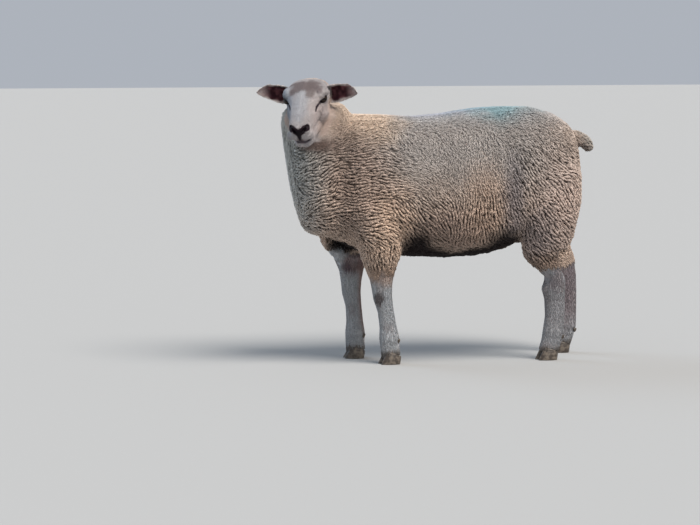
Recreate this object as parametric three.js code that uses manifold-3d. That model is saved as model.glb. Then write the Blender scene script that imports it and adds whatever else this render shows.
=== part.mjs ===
// A life-size standing ewe in short fleece, her head turned to her left.
// Millimetres, +Z up, -Y the way her body points, +X her left side, floor at z = 0.
// Soft masses are lofts through named stations; they are joined, then parted into the
// head, neck, trunk, tail, ears and leg lengths by thin gaps.
import * as THREE from "three";
import { LoftGeometry } from "three/addons/geometries/LoftGeometry.js";
import { mergeVertices } from "three/addons/utils/BufferGeometryUtils.js";
import Module from "manifold-3d";

const wasm = await Module();
wasm.setup();

// ---------------------------------------------------------------- driving sizes

const GAP = 0.4; // air left between neighbouring pieces
const HEAD_TURN = 67.7; // degrees the head looks to the left of the body
const HEAD_NOD = 25; // degrees the face slopes down
const HEAD_TILT = 3; // degrees its left side is raised
const HEAD_AT = [89, 410, 748]; // left, ahead and up of the point midway between the eyes
const EYE = { radius: 14.5, left: 46.5, ahead: 7, up: 5, slitLength: 17, slitHeight: 12 };
const EAR = { length: 96, width: 27, wall: 2.6, left: 55, ahead: -50, up: -4 };
const EAR_RISE = 0.19; // how far an ear rises along its length
const EAR_TILT = 0.07; // how much lower than that the left one is, and higher the right
const HOOF = { toe: 36, heel: 22, width: 27, toeHeight: 40, heelHeight: 22, slope: 0.5 };
const DEWCLAW = { radius: 9, up: 66, apart: 13, sunk: 0.86 };
const FOOT = { toeOut: 4 };
const FORE_SWING = 68; // how far the right forefoot stands ahead of the left one
const HIND_SWING = 88; // how far the right hind foot stands behind the left one

const WOOL = { color: 0xcdbfae, roughness: 0.95, metalness: 0 };
const HAIR = { color: 0xe4dcd2, roughness: 0.85, metalness: 0 };
const EAR_SKIN = { color: 0xb98f86, roughness: 0.8, metalness: 0 };
const HORN = { color: 0x4b4238, roughness: 0.6, metalness: 0 };
const EYE_WET = { color: 0x2b1d10, roughness: 0.1, metalness: 0 };

// ---------------------------------------------------------------- small helpers

/** A point from how far left, ahead and up it is. */
const at = (left, ahead, up) => new THREE.Vector3(left, -ahead, up);

/** |x|^p with the sign of x, for rings between a circle and a rounded square. */
const power = (x, p) => Math.sign(x) * Math.abs(x) ** p;

/** A closed geometry as a solid that can be joined and cut. */
function solid(geometry) {
  const bare = new THREE.BufferGeometry()
    .setAttribute("position", geometry.getAttribute("position"))
    .setIndex(geometry.index);
  const merged = mergeVertices(bare, 1e-3);
  return new wasm.Manifold(
    new wasm.Mesh({
      numProp: 3,
      vertProperties: new Float32Array(merged.attributes.position.array),
      triVerts: new Uint32Array(merged.index.array),
    }),
  );
}

/** A solid as a named mesh. */
function mesh(name, made, look) {
  const { vertProperties, triVerts } = made.getMesh();
  const geometry = new THREE.BufferGeometry()
    .setAttribute("position", new THREE.BufferAttribute(vertProperties, 3))
    .setIndex(new THREE.BufferAttribute(triVerts, 1));
  geometry.computeVertexNormals();
  const node = new THREE.Mesh(geometry, new THREE.MeshStandardMaterial(look));
  node.name = name;
  return node;
}

const join = (solids) => solids.reduce((a, b) => a.add(b));
const largest = (made) =>
  made.decompose().reduce((a, b) => (b.volume() > a.volume() ? b : a));

/**
 * A rounded solid skinned through stations. Each station has the centre `at` and three
 * half sizes: `side` across, `rise` on the first side of the ring (the back of a trunk,
 * the front of a leg) and `fall` on the other. `domes` rounds the two ends by that much,
 * `square` is 2 for oval rings and more for squarer ones, and `grow` swells it all.
 */
function loft(stations, { around, rings, domes, square = 2.2, grow = 0 }) {
  const spine = new THREE.CatmullRomCurve3(stations.map((s) => s.at));
  const sizes = new THREE.CatmullRomCurve3(
    stations.map((s) => new THREE.Vector3(s.side, s.rise, s.fall)),
  );
  const ring = (t, push, scale) => {
    const along = spine.getTangent(t);
    const across = new THREE.Vector3(1, 0, 0).projectOnPlane(along).normalize();
    const rise = new THREE.Vector3().crossVectors(across, along);
    const centre = spine.getPoint(t).addScaledVector(along, push);
    const half = sizes.getPoint(t);
    return Array.from({ length: around }, (_, i) => {
      const angle = (-2 * Math.PI * i) / around;
      const c = power(Math.cos(angle), 2 / square);
      const s = power(Math.sin(angle), 2 / square);
      const tall = s > 0 ? half.y : half.z;
      return centre
        .clone()
        .addScaledVector(across, c * (half.x * scale + grow))
        .addScaledVector(rise, s * (tall * scale + grow));
    });
  };
  const DOME_RINGS = [86, 58, 30]; // degrees round from the widest ring
  const dome = (t, height) =>
    DOME_RINGS.map((degrees) => {
      const turn = THREE.MathUtils.degToRad(degrees);
      return ring(t, height * Math.sin(turn), Math.cos(turn));
    });
  const body = Array.from({ length: rings + 1 }, (_, i) => ring(i / rings, 0, 1));
  const sections = [
    ...dome(0, -domes[0] - grow),
    ...body,
    ...dome(1, domes[1] + grow).reverse(),
  ];
  return solid(new LoftGeometry(sections, { capStart: true, capEnd: true }));
}

/** An ellipsoid with three half sizes, left, ahead and up. */
function ball(centre, [left, ahead, up], grow = 0, columns = 14) {
  const geometry = new THREE.SphereGeometry(1, columns, Math.round(columns * 0.6));
  geometry.scale(left + grow, ahead + grow, up + grow);
  geometry.translate(centre.x, centre.y, centre.z);
  return solid(geometry);
}

/** A block that reaches `size` from a face through `point`, on the side `normal` shows. */
function block(point, normal, size = [2000, 2000, 2000], grow = 0) {
  const geometry = new THREE.BoxGeometry(size[0], size[1], size[2] + grow);
  geometry.translate(0, 0, size[2] / 2 - grow / 2);
  geometry.applyQuaternion(
    new THREE.Quaternion().setFromUnitVectors(
      new THREE.Vector3(0, 0, 1),
      normal.clone().normalize(),
    ),
  );
  geometry.translate(point.x, point.y, point.z);
  return solid(geometry);
}

/** Parts a solid at a face: what lies inside the block, and the rest, a gap apart. */
function part(whole, point, normal, size) {
  return [
    largest(whole.intersect(block(point, normal, size))),
    largest(whole.subtract(block(point, normal, size, GAP))),
  ];
}

// ---------------------------------------------------------------- trunk and neck

// From breast to rump: `at` is the widest level, rise the back, fall the belly.
const TRUNK = [
  { at: at(0, 330, 480), side: 112, rise: 160, fall: 138 },
  { at: at(0, 270, 490), side: 148, rise: 217, fall: 172 },
  { at: at(0, 195, 488), side: 168, rise: 219, fall: 182 },
  { at: at(0, 115, 484), side: 182, rise: 216, fall: 186 },
  { at: at(0, 35, 480), side: 193, rise: 224, fall: 187 },
  { at: at(0, -45, 480), side: 198, rise: 232, fall: 188 },
  { at: at(0, -115, 486), side: 197, rise: 236, fall: 188 },
  { at: at(0, -175, 496), side: 190, rise: 232, fall: 176 },
  { at: at(0, -230, 506), side: 181, rise: 223, fall: 154 },
  { at: at(0, -285, 511), side: 170, rise: 213, fall: 125 },
  { at: at(0, -335, 513), side: 154, rise: 192, fall: 100 },
  { at: at(0, -374, 514), side: 128, rise: 164, fall: 80 },
];

// From breast to nape: rise is the throat side, fall the crest side.
const NECK = [
  { at: at(0, 322, 395), side: 92, rise: 84, fall: 70 },
  { at: at(0, 328, 465), side: 116, rise: 100, fall: 100 },
  { at: at(0, 336, 540), side: 118, rise: 107, fall: 118 },
  { at: at(0, 346, 610), side: 108, rise: 108, fall: 118 },
  { at: at(0, 360, 668), side: 97, rise: 104, fall: 114 },
  { at: at(6, 365, 712), side: 86, rise: 98, fall: 92 },
];

// The left legs from the pastern up to the shoulder and thigh: rise is the front side.
const FORELEG = [
  { at: at(80, 162, 26), side: 26, rise: 30, fall: 28 },
  { at: at(80, 167, 48), side: 24, rise: 28, fall: 29 },
  { at: at(80, 170, 70), side: 27, rise: 28, fall: 32 },
  { at: at(80, 172, 96), side: 23, rise: 25, fall: 27 },
  { at: at(81, 177, 140), side: 21, rise: 23, fall: 24 },
  { at: at(82, 184, 176), side: 24, rise: 28, fall: 25 },
  { at: at(83, 189, 206), side: 28, rise: 32, fall: 28 },
  { at: at(85, 192, 240), side: 29, rise: 32, fall: 33 },
  { at: at(87, 195, 266), side: 36, rise: 40, fall: 42 },
  { at: at(89, 197, 294), side: 49, rise: 54, fall: 56 },
  { at: at(93, 198, 332), side: 62, rise: 68, fall: 70 },
  { at: at(97, 205, 380), side: 71, rise: 78, fall: 80 },
  { at: at(94, 216, 436), side: 74, rise: 86, fall: 84 },
  { at: at(78, 228, 490), side: 70, rise: 84, fall: 78 },
];
const HIND_LEG = [
  { at: at(82, -300, 26), side: 26, rise: 30, fall: 28 },
  { at: at(82, -307, 50), side: 24, rise: 29, fall: 30 },
  { at: at(82, -313, 76), side: 28, rise: 31, fall: 33 },
  { at: at(83, -317, 112), side: 24, rise: 29, fall: 30 },
  { at: at(84, -318, 160), side: 23, rise: 30, fall: 30 },
  { at: at(87, -314, 205), side: 27, rise: 36, fall: 35 },
  { at: at(90, -306, 240), side: 31, rise: 42, fall: 41 },
  { at: at(93, -293, 270), side: 36, rise: 50, fall: 52 },
  { at: at(95, -276, 305), side: 47, rise: 66, fall: 66 },
  { at: at(97, -284, 350), side: 64, rise: 88, fall: 82 },
  { at: at(98, -288, 400), side: 78, rise: 104, fall: 93 },
  { at: at(98, -288, 460), side: 84, rise: 112, fall: 107 },
  { at: at(92, -284, 525), side: 84, rise: 112, fall: 112 },
  { at: at(74, -276, 580), side: 74, rise: 100, fall: 104 },
];
const FORELEG_ROOT = 830; // height about which the right foreleg swings ahead
const HOCK_TOP = 280; // below this the right hind leg stands back by the full swing
const HIP_TOP = 560; // above this it does not

/** A leg's stations on the right side, moved ahead by `swing` of their height. */
const mirrored = (stations, swing) =>
  stations.map((s) => ({
    ...s,
    at: at(-s.at.x, -s.at.y + swing(s.at.z), s.at.z),
  }));
const foreSwing = (up) => FORE_SWING * (1 - up / FORELEG_ROOT);
const hindSwing = (up) =>
  -HIND_SWING * (1 - THREE.MathUtils.smoothstep(up, HOCK_TOP, HIP_TOP));

const TAIL = [
  { at: at(0, -362, 624), side: 34, rise: 32, fall: 30 },
  { at: at(0, -400, 628), side: 32, rise: 27, fall: 26 },
  { at: at(0, -428, 620), side: 30, rise: 23, fall: 22 },
  { at: at(0, -440, 606), side: 26, rise: 19, fall: 19 },
];

// ---------------------------------------------------------------- head, in its own frame

// From nose to nape, about the point between the eyes: rise the face, fall the palate.
const SKULL = [
  { at: at(0, 142, -24), side: 24, rise: 14, fall: 20 },
  { at: at(0, 131, -25), side: 30, rise: 24, fall: 33 },
  { at: at(0, 108, -24), side: 33, rise: 36, fall: 38 },
  { at: at(0, 78, -20), side: 36, rise: 43, fall: 44 },
  { at: at(0, 48, -14), side: 43, rise: 46, fall: 50 },
  { at: at(0, 18, -8), side: 53, rise: 48, fall: 54 },
  { at: at(0, -14, -4), side: 61, rise: 45, fall: 56 },
  { at: at(0, -46, -4), side: 64, rise: 42, fall: 58 },
  { at: at(0, -78, -10), side: 57, rise: 37, fall: 50 },
];
const JAW = [
  { at: at(2, 117, -73), side: 21, rise: 14, fall: 14 },
  { at: at(2, 101, -72), side: 26, rise: 20, fall: 20 },
  { at: at(1, 70, -70), side: 31, rise: 22, fall: 22 },
  { at: at(0, 36, -67), side: 38, rise: 28, fall: 27 },
  { at: at(0, 0, -61), side: 48, rise: 34, fall: 36 },
  { at: at(0, -40, -54), side: 53, rise: 34, fall: 43 },
];
const LIPS = { at: at(0, 119, -42), half: [34, 27, 25] };
const CHEEK = { at: at(36, -14, -40), half: [26, 46, 42] };
const BROW = { at: at(43, -3, 12), half: [23, 29, 25] };
const NOSTRIL = { at: at(17, 147, -20), half: [9.5, 9, 4.5], droop: 0.55 };
const MOUTH = { at: at(0, 110, -60), half: [42, 34, 0.8] };

const headFrame = new THREE.Object3D();
headFrame.position.copy(at(...HEAD_AT));
headFrame.rotation.set(
  THREE.MathUtils.degToRad(HEAD_NOD),
  THREE.MathUtils.degToRad(-HEAD_TILT),
  THREE.MathUtils.degToRad(HEAD_TURN),
  "ZXY",
);
headFrame.updateMatrix();

const mirror = (point, side) => new THREE.Vector3(point.x * side, point.y, point.z);

/** The skull, jaw, lips, cheeks and brows as one mass. */
function headMass(grow) {
  return join([
    loft(SKULL, { around: 22, rings: 12, domes: [7, 32], square: 2.25, grow }),
    loft(JAW, { around: 14, rings: 6, domes: [8, 24], square: 2.25, grow }),
    ball(LIPS.at, LIPS.half, grow, 12),
    ...[1, -1].flatMap((side) => [
      ball(mirror(CHEEK.at, side), CHEEK.half, grow, 12),
      ball(mirror(BROW.at, side), BROW.half, grow, 12),
    ]),
  ]);
}

/** The comma of a nostril, which slants down towards the middle of the nose. */
function nostril(side) {
  const geometry = new THREE.SphereGeometry(1, 8, 6);
  geometry.scale(...NOSTRIL.half);
  geometry.rotateY(-side * NOSTRIL.droop);
  const { x, y, z } = mirror(NOSTRIL.at, side);
  return solid(geometry.translate(x, y, z));
}

/** The way an eye looks out: mostly sideways, then ahead and a little up. */
const gaze = (side) => at(0.73 * side, 0.66, 0.14).normalize();
const eyeCentre = (side) => at(EYE.left * side, EYE.ahead, EYE.up);

/** The almond between the lids, its front corner lower than its rear one. */
function lidOpening(side) {
  const out = gaze(side);
  const slit = at(0.5 * side, -0.72, 0.42).projectOnPlane(out).normalize();
  const frame = new THREE.Matrix4().makeBasis(
    slit,
    new THREE.Vector3().crossVectors(out, slit),
    out,
  );
  const geometry = new THREE.SphereGeometry(1, 10, 6);
  geometry.scale(EYE.slitLength, EYE.slitHeight, 18);
  geometry.applyMatrix4(frame);
  const centre = eyeCentre(side).addScaledVector(out, 16);
  geometry.translate(centre.x, centre.y, centre.z);
  return solid(geometry);
}

/** A leaf-shaped ear, rolled into a funnel at its root and cupped towards the front. */
function ear(side) {
  const STEPS = 9;
  const AROUND = 10;
  const out = at(0.92 * side, 0.36, EAR_RISE - side * EAR_TILT).normalize();
  const upward = at(0, 0, 1).projectOnPlane(out).normalize();
  const back = new THREE.Vector3().crossVectors(upward, out).multiplyScalar(side);
  const root = at(EAR.left * side, EAR.ahead, EAR.up);
  const sections = Array.from({ length: STEPS + 1 }, (_, i) => {
    const s = i / STEPS;
    const leaf = Math.sin(Math.PI * Math.min(1, 0.2 + 0.8 * s ** 0.85)) ** 0.62;
    const half = Math.max(0.06, leaf) * EAR.width;
    const curl = THREE.MathUtils.lerp(1.9, 0.55, Math.min(1, 1.5 * s));
    const radius = half / Math.sin(Math.min(curl, Math.PI / 2));
    const wall = EAR.wall * (1.25 - 0.6 * s);
    return Array.from({ length: AROUND }, (_, j) => {
      const angle = (-2 * Math.PI * j * side) / AROUND;
      const across = curl * Math.cos(angle);
      const reach = radius + wall * Math.sin(angle);
      return root
        .clone()
        .addScaledVector(out, s * EAR.length)
        .addScaledVector(upward, reach * Math.sin(across))
        .addScaledVector(back, reach * Math.cos(across) - radius * 0.55);
    });
  });
  return solid(new LoftGeometry(sections, { capStart: true, capEnd: true }));
}

// ---------------------------------------------------------------- feet, in their own frame

/** One claw: a flat sole, a sloping toe wall and a coronet that falls to the heel. */
function claw(side, grow = 0) {
  const LEVELS = 2;
  const AROUND = 10;
  const middle = side * (HOOF.width / 2 + 1);
  const sections = Array.from({ length: LEVELS + 1 }, (_, i) => {
    const rise = i / LEVELS;
    const toe = HOOF.toe - rise * HOOF.toeHeight * HOOF.slope;
    const heel = -HOOF.heel - 3 * rise;
    return Array.from({ length: AROUND }, (_, j) => {
      const angle = (2 * Math.PI * j) / AROUND;
      const along = (1 + Math.cos(angle)) / 2; // 0 at the heel and 1 at the toe
      const half = (HOOF.width / 2) * (1 - 0.1 * rise) * (1 - 0.35 * along ** 3);
      return at(
        middle + half * Math.sin(angle),
        THREE.MathUtils.lerp(heel, toe, along),
        rise * THREE.MathUtils.lerp(HOOF.heelHeight, HOOF.toeHeight, along),
      );
    });
  });
  const geometry = new LoftGeometry(sections, { capStart: true, capEnd: true });
  const swell = 1 + (2 * grow) / HOOF.heelHeight;
  const centre = at(middle, (HOOF.toe - HOOF.heel) / 2, HOOF.heelHeight / 2);
  geometry.translate(-centre.x, -centre.y, -centre.z);
  geometry.scale(swell, swell, swell);
  geometry.translate(centre.x, centre.y, centre.z);
  return solid(geometry);
}

/** The two small claws high at the back of a foot; `behind` is the back of its leg. */
const dewclaw = (side, behind, grow = 0) =>
  ball(
    at(side * DEWCLAW.apart, -behind, DEWCLAW.up),
    [DEWCLAW.radius * 0.8, DEWCLAW.radius, DEWCLAW.radius * 1.15],
    grow,
    6,
  );

/** The frame of a foot that stands under a leg's lowest station. */
function footFrame(stations) {
  const frame = new THREE.Object3D();
  const { x, y } = stations[0].at;
  frame.position.set(x, y, 0);
  frame.rotation.z = THREE.MathUtils.degToRad(FOOT.toeOut * Math.sign(x));
  frame.updateMatrix();
  return frame;
}

/** How far behind its foot's frame the back of a leg is, level with the dewclaws. */
function fetlockBehind(stations) {
  const [pastern, , fetlock] = stations;
  return fetlock.at.y - pastern.at.y + DEWCLAW.sunk * fetlock.fall;
}

/** What the horn of a foot takes out of its leg. */
const footHorn = (frame, behind) =>
  join(
    [1, -1].flatMap((side) => [
      claw(side, GAP).transform(frame.matrix.elements),
      dewclaw(side, behind, GAP).transform(frame.matrix.elements),
    ]),
  );

// ---------------------------------------------------------------- assembly

const root = new THREE.Group();
const body = new THREE.Group();
root.add(body);

const legs = {
  front_left: { stations: FORELEG, wool: 262 },
  front_right: { stations: mirrored(FORELEG, foreSwing), wool: 262 },
  hind_left: { stations: HIND_LEG, wool: 262 },
  hind_right: { stations: mirrored(HIND_LEG, hindSwing), wool: 262 },
};
const legMass = ({ stations }, grow) =>
  loft(stations, { around: 12, rings: 12, domes: [10, 50], grow });
const legPockets = join(Object.values(legs).map((leg) => legMass(leg, GAP)));

const trunkLoft = (grow) =>
  loft(TRUNK, { around: 22, rings: 10, domes: [60, 30], square: 2.3, grow });
const neckLoft = loft(NECK, { around: 20, rings: 7, domes: [40, 30] });

const headCut = headMass(GAP).transform(headFrame.matrix.elements);
const whole = trunkLoft(0).add(neckLoft).subtract(legPockets).subtract(headCut);

// The neck is parted from the trunk between the withers and the point of the breast.
const [neck, trunk] = part(whole, at(0, 348, 585), at(0, 0.826, 0.566));
body.add(mesh("neck", neck, WOOL));
body.add(mesh("trunk", trunk, WOOL));

// Each leg reaches into a pocket of the trunk, and is parted where its wool ends.
for (const [name, leg] of Object.entries(legs)) {
  const frame = footFrame(leg.stations);
  const behind = fetlockBehind(leg.stations);
  const [lower, upper] = part(legMass(leg, 0), at(0, 0, leg.wool), at(0, 0, -1));
  body.add(mesh(`leg_${name}_upper`, upper, WOOL));
  const shank = largest(lower.subtract(footHorn(frame, behind)));
  body.add(mesh(`leg_${name}_lower`, shank, HAIR));
  const foot = new THREE.Group();
  foot.position.copy(frame.position);
  foot.rotation.copy(frame.rotation);
  for (const side of [1, -1]) {
    const where = side * frame.position.x > 0 ? "outer" : "inner";
    foot.add(mesh(`claw_${name}_${where}`, claw(side), HORN));
    foot.add(mesh(`dewclaw_${name}_${where}`, dewclaw(side, behind), HORN));
  }
  body.add(foot);
}

const tail = loft(TAIL, { around: 12, rings: 5, domes: [10, 19] });
const dock = tail.subtract(trunkLoft(GAP)).subtract(legPockets);
body.add(mesh("tail", largest(dock), WOOL));

// The head carries its eyes and ears in its own turned frame.
const head = new THREE.Group();
head.position.copy(headFrame.position);
head.rotation.copy(headFrame.rotation);
let face = headMass(0).subtract(ball(MOUTH.at, MOUTH.half));
for (const side of [1, -1]) {
  const name = side > 0 ? "left" : "right";
  face = face
    .subtract(ball(eyeCentre(side), Array(3).fill(EYE.radius), GAP))
    .subtract(lidOpening(side))
    .subtract(nostril(side));
  head.add(mesh(`eye_${name}`, ball(eyeCentre(side), Array(3).fill(EYE.radius)), EYE_WET));
  head.add(mesh(`ear_${name}`, largest(ear(side).subtract(headMass(GAP))), EAR_SKIN));
}
head.add(mesh("head", largest(face), HAIR));
body.add(head);

// The origin is on the floor under the middle of the whole animal.
root.updateMatrixWorld(true);
const box = new THREE.Box3().setFromObject(body, true);
const middle = box.getCenter(new THREE.Vector3());
body.position.set(-middle.x, -middle.y, -box.min.z);

export default root;
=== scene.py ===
"""A life-size standing ewe: one skin, a fleece of mesh locks, short hair, eyes and hooves."""

import logging
import math
from contextlib import contextmanager
from dataclasses import dataclass, field, replace
from enum import Enum
from typing import Callable, Iterable, Iterator, Sequence

import bmesh
import bpy
import numpy as np
from mathutils import Matrix, Vector
from mathutils.bvhtree import BVHTree


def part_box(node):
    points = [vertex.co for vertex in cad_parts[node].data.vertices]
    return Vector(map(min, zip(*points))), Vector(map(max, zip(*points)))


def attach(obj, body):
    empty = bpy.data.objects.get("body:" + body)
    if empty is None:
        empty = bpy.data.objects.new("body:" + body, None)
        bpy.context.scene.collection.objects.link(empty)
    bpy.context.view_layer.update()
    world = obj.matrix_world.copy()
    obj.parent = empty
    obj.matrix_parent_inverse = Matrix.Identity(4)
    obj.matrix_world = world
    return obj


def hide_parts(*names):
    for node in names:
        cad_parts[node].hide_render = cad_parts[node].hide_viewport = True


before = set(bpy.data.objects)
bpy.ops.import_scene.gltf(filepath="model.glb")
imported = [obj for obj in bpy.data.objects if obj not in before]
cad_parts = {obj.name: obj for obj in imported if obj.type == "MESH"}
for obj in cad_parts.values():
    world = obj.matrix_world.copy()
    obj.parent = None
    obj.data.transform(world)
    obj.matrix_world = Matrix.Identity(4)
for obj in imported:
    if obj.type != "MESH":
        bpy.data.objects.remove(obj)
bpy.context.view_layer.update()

log = logging.getLogger("ewe")
Array = np.ndarray
Colour = tuple[float, float, float]
Point = tuple[float, float, float]
Span = tuple[float, float]

BAKE_MAP = "OFBake"
STRAND = "strand"
TINT = "tint"
BARE = "bare"
MM = 0.001


# ---------------------------------------------------------------- small numeric tools


def smoothstep(value: Array, low: float, high: float) -> Array:
    """Eases from 0 at low to 1 at high."""
    t = np.clip((value - low) / (high - low), 0.0, 1.0)
    return t * t * (3.0 - 2.0 * t)


def blend(first: Array, second: Array | Colour, weight: Array) -> Array:
    """Mixes rows of first towards second by weight."""
    return first + (np.asarray(second) - first) * weight[:, None]


def unit(vectors: Array) -> Array:
    """Rows scaled to length 1."""
    return vectors / (np.linalg.norm(vectors, axis=-1, keepdims=True) + 1e-12)


def within(places: Array, low: Point, high: Point) -> Array:
    """Whether each row lies inside a box."""
    return np.all((places > low) & (places < high), axis=1)


def flatten(vectors: Array, normals: Array) -> Array:
    """Rows with their part along the normals taken away."""
    return vectors - normals * np.sum(vectors * normals, axis=1, keepdims=True)


class ValueNoise:
    """Smooth noise in space, the same for the same seed."""

    SIZE = 32

    def __init__(self, seed: int) -> None:
        """Fills the lattice.

        Args:
            seed: chooses the pattern.
        """
        self.lattice = np.random.default_rng(seed).uniform(-1, 1, (self.SIZE,) * 3)

    def __call__(self, points: Array, scale: float) -> Array:
        """Noise from -1 to 1 at points.

        Args:
            points: places, one row each.
            scale: size of a lattice cell in metres.

        Returns:
            One value for each point.
        """
        at = points / scale
        low = np.floor(at).astype(int)
        t = at - low
        t = t * t * (3 - 2 * t)
        total = np.zeros(len(points))
        for corner in np.ndindex(2, 2, 2):
            index = (low + corner) % self.SIZE
            weight = np.prod(np.where(corner, t, 1 - t), axis=1)
            total += weight * self.lattice[index[:, 0], index[:, 1], index[:, 2]]
        return total


class Ridges:
    """Short wavy ridges that run along a given direction, with creases between them."""

    CELLS = 64
    CELL_TO_REACH = 1.3
    CONTRAST = 1.3

    def __init__(self, seed: int, reach: float) -> None:
        """Scatters one burst of ridges in each cell of a lattice.

        Args:
            seed: chooses the pattern.
            reach: how far a burst reaches, in metres.
        """
        rng = np.random.default_rng(seed)
        self.reach = reach
        self.spot = rng.random((self.CELLS,) * 3 + (3,))
        self.phase = rng.uniform(0, 2 * np.pi, (self.CELLS,) * 3)

    def __call__(self, points: Array, across: Array, spacing: Array) -> Array:
        """Heights from about -1 in a crease to 1 on a crest.

        Args:
            points: places, one row each.
            across: the unit direction from crest to crest at each.
            spacing: the distance from crest to crest at each.

        Returns:
            One height for each point.
        """
        cell = self.reach * self.CELL_TO_REACH
        low = np.floor(points / cell).astype(int)
        total, weights = np.zeros(len(points)), np.zeros(len(points))
        for step in np.ndindex(3, 3, 3):
            at = low + step - np.ones(3, dtype=int)
            index = tuple((at % self.CELLS).T)
            offset = points - (at + self.spot[index]) * cell
            weight = np.exp(-np.sum(offset**2, axis=1) / self.reach**2)
            along = np.sum(offset * across, axis=1) / spacing
            total += weight * np.cos(2 * np.pi * along + self.phase[index])
            weights += weight**2
        return np.tanh(self.CONTRAST * total / np.sqrt(weights + 1e-4))


# ---------------------------------------------------------------- frames of the body


@dataclass(frozen=True)
class Axes:
    """A turned frame: its local axes are left, ahead and up."""

    origin: Array
    turn: Array

    def local(self, points: Array) -> Array:
        """Left, ahead and up of points, in metres."""
        return ((points - self.origin) @ self.turn) * (1, -1, 1)

    def world(self, left: float, ahead: float, up: float) -> Array:
        """The point at these local sizes."""
        return self.origin + self.turn @ np.array((left, -ahead, up))

    def direction(self, vectors: Array) -> Array:
        """Local left, ahead and up parts of vectors."""
        return (vectors @ self.turn) * (1, -1, 1)

    def outward(self, vector: Sequence[float]) -> Array:
        """The world direction of a local left, ahead and up vector."""
        left, ahead, up = vector
        return self.turn @ np.array((left, -ahead, up))


def body_axes() -> Axes:
    """The body's frame, on the floor under the trunk's middle, its rump 404 mm behind.

    Returns:
        The frame: left, ahead and up of the body.
    """
    rear_behind = 0.404
    low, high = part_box("trunk")
    origin = np.array(((low.x + high.x) / 2, high.y - rear_behind, 0.0))
    return Axes(origin, np.eye(3))


def head_axes() -> Axes:
    """The head's frame, midway between the eyes.

    Returns:
        The frame, turned, nodded and tilted with the head.
    """
    turn, nod, tilt = (math.radians(a) for a in (67.7, 25.0, 3.0))
    eyes_ahead, eyes_up = 7 * MM, 5 * MM
    rotation = (
        Matrix.Rotation(turn, 3, "Z")
        @ Matrix.Rotation(nod, 3, "X")
        @ Matrix.Rotation(-tilt, 3, "Y")
    )
    corners = [c for side in ("left", "right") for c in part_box(f"eye_{side}")]
    middle = sum(corners, Vector()) / len(corners)
    origin = middle - rotation @ Vector((0, -eyes_ahead, eyes_up))
    return Axes(np.array(origin), np.array(rotation))


BODY = body_axes()
HEAD = head_axes()


# ---------------------------------------------------------------- marks and creases


def both_sides(points: Iterable[Point]) -> list[list[Point]]:
    """A line and its mirror image, as lists of left, ahead and up in millimetres."""
    line = list(points)
    return [line, [(-left, ahead, up) for left, ahead, up in line]]


@dataclass(frozen=True)
class Stroke:
    """A line over the head that presses in, swells (a depth below 0) or darkens it.

    Its lines, width and depth are in millimetres.
    """

    lines: list[list[Point]]
    width: float
    depth: float = 0.0
    colour: Colour | None = None
    strength: float = 1.0
    bare: float = 0.0

    def laid_on(self, surface: BVHTree) -> "Stroke":
        """The same stroke with its lines drawn finely over a surface.

        Args:
            surface: the skin of the head.

        Returns:
            The new stroke.
        """
        cuts_between_corners = 5
        laid = []
        for line in self.lines:
            corners = np.asarray(line, dtype=float)
            ends = np.arange(len(corners))
            steps = np.linspace(0, ends[-1], cuts_between_corners * ends[-1] + 1)
            dense = np.stack([np.interp(steps, ends, corners[:, i]) for i in range(3)], axis=1)
            spots = [surface.find_nearest(HEAD.world(*(p * MM)))[0] for p in dense]
            laid.append([tuple(p) for p in HEAD.local(np.array(spots)) / MM])
        return replace(self, lines=laid)

    def mask(self, local: Array) -> Array:
        """How near local points are to the line, from 0 to 1.

        Args:
            local: places in the head's frame, one row each.

        Returns:
            One weight for each place.
        """
        nearest = np.full(len(local), np.inf)
        for line in self.lines:
            corners = np.asarray(line) * MM
            for start, end in zip(corners[:-1], corners[1:]):
                span = end - start
                t = np.clip((local - start) @ span / (span @ span), 0, 1)
                away = np.linalg.norm(local - start - t[:, None] * span, axis=1)
                nearest = np.minimum(nearest, away)
        return np.exp(-((nearest / (self.width * MM)) ** 2))


@dataclass(frozen=True)
class Patch:
    """A soft patch of colour, as an ellipsoid in left, ahead and up."""

    centre: Point
    radii: Point
    colour: Colour
    strength: float
    edge: float = 0.5
    wobble: float = 0.18
    mirrored: bool = True

    def mask(self, local: Array, noise: ValueNoise) -> Array:
        """How much of the patch each local point takes, from 0 to strength.

        Args:
            local: places in the frame that the patch is drawn in.
            noise: what makes its edge uneven.

        Returns:
            One weight for each place.
        """
        wobble_length = max(self.radii) * 0.35
        place = local.copy()
        centre = np.asarray(self.centre)
        if self.mirrored:
            place[:, 0] = np.abs(place[:, 0])
            centre = np.abs(centre) * (1, 0, 0) + centre * (0, 1, 1)
        away = np.linalg.norm((place - centre) / self.radii, axis=1)
        away += self.wobble * noise(local, wobble_length)
        return self.strength * (1 - smoothstep(away, 1 - self.edge, 1 + self.edge))


DARK_SKIN: Colour = (0.012, 0.005, 0.009)
BLACK_SKIN: Colour = (0.005, 0.002, 0.004)
LIP_LINE = [(0, 125, -68), (12, 121, -69), (22, 112, -66), (30, 98, -63), (33, 84, -62)]
NOSTRIL = [(24, 132, -15), (20, 138, -17), (14, 143, -22), (8, 146, -27)]
NOSE_BAND = [(22, 134, -19), (14, 141, -21), (6, 146, -25), (0, 148, -29)]
TEAR_LINES = [
    [(50, 19, 4), (46, 27, 4), (42, 38, 3), (38, 52, 1), (37, 60, -5)],
    [(-50, 18, 4), (-44, 30, 5), (-39, 46, 7), (-35, 60, 6), (-33, 68, 5)],
]


@dataclass
class Face:
    """The creases and dark lines of the face."""

    strokes: list[Stroke]

    def lay_on(self, surface: BVHTree) -> None:
        """Draws every stroke over the surface of the head."""
        self.strokes = [stroke.laid_on(surface) for stroke in self.strokes]


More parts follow.
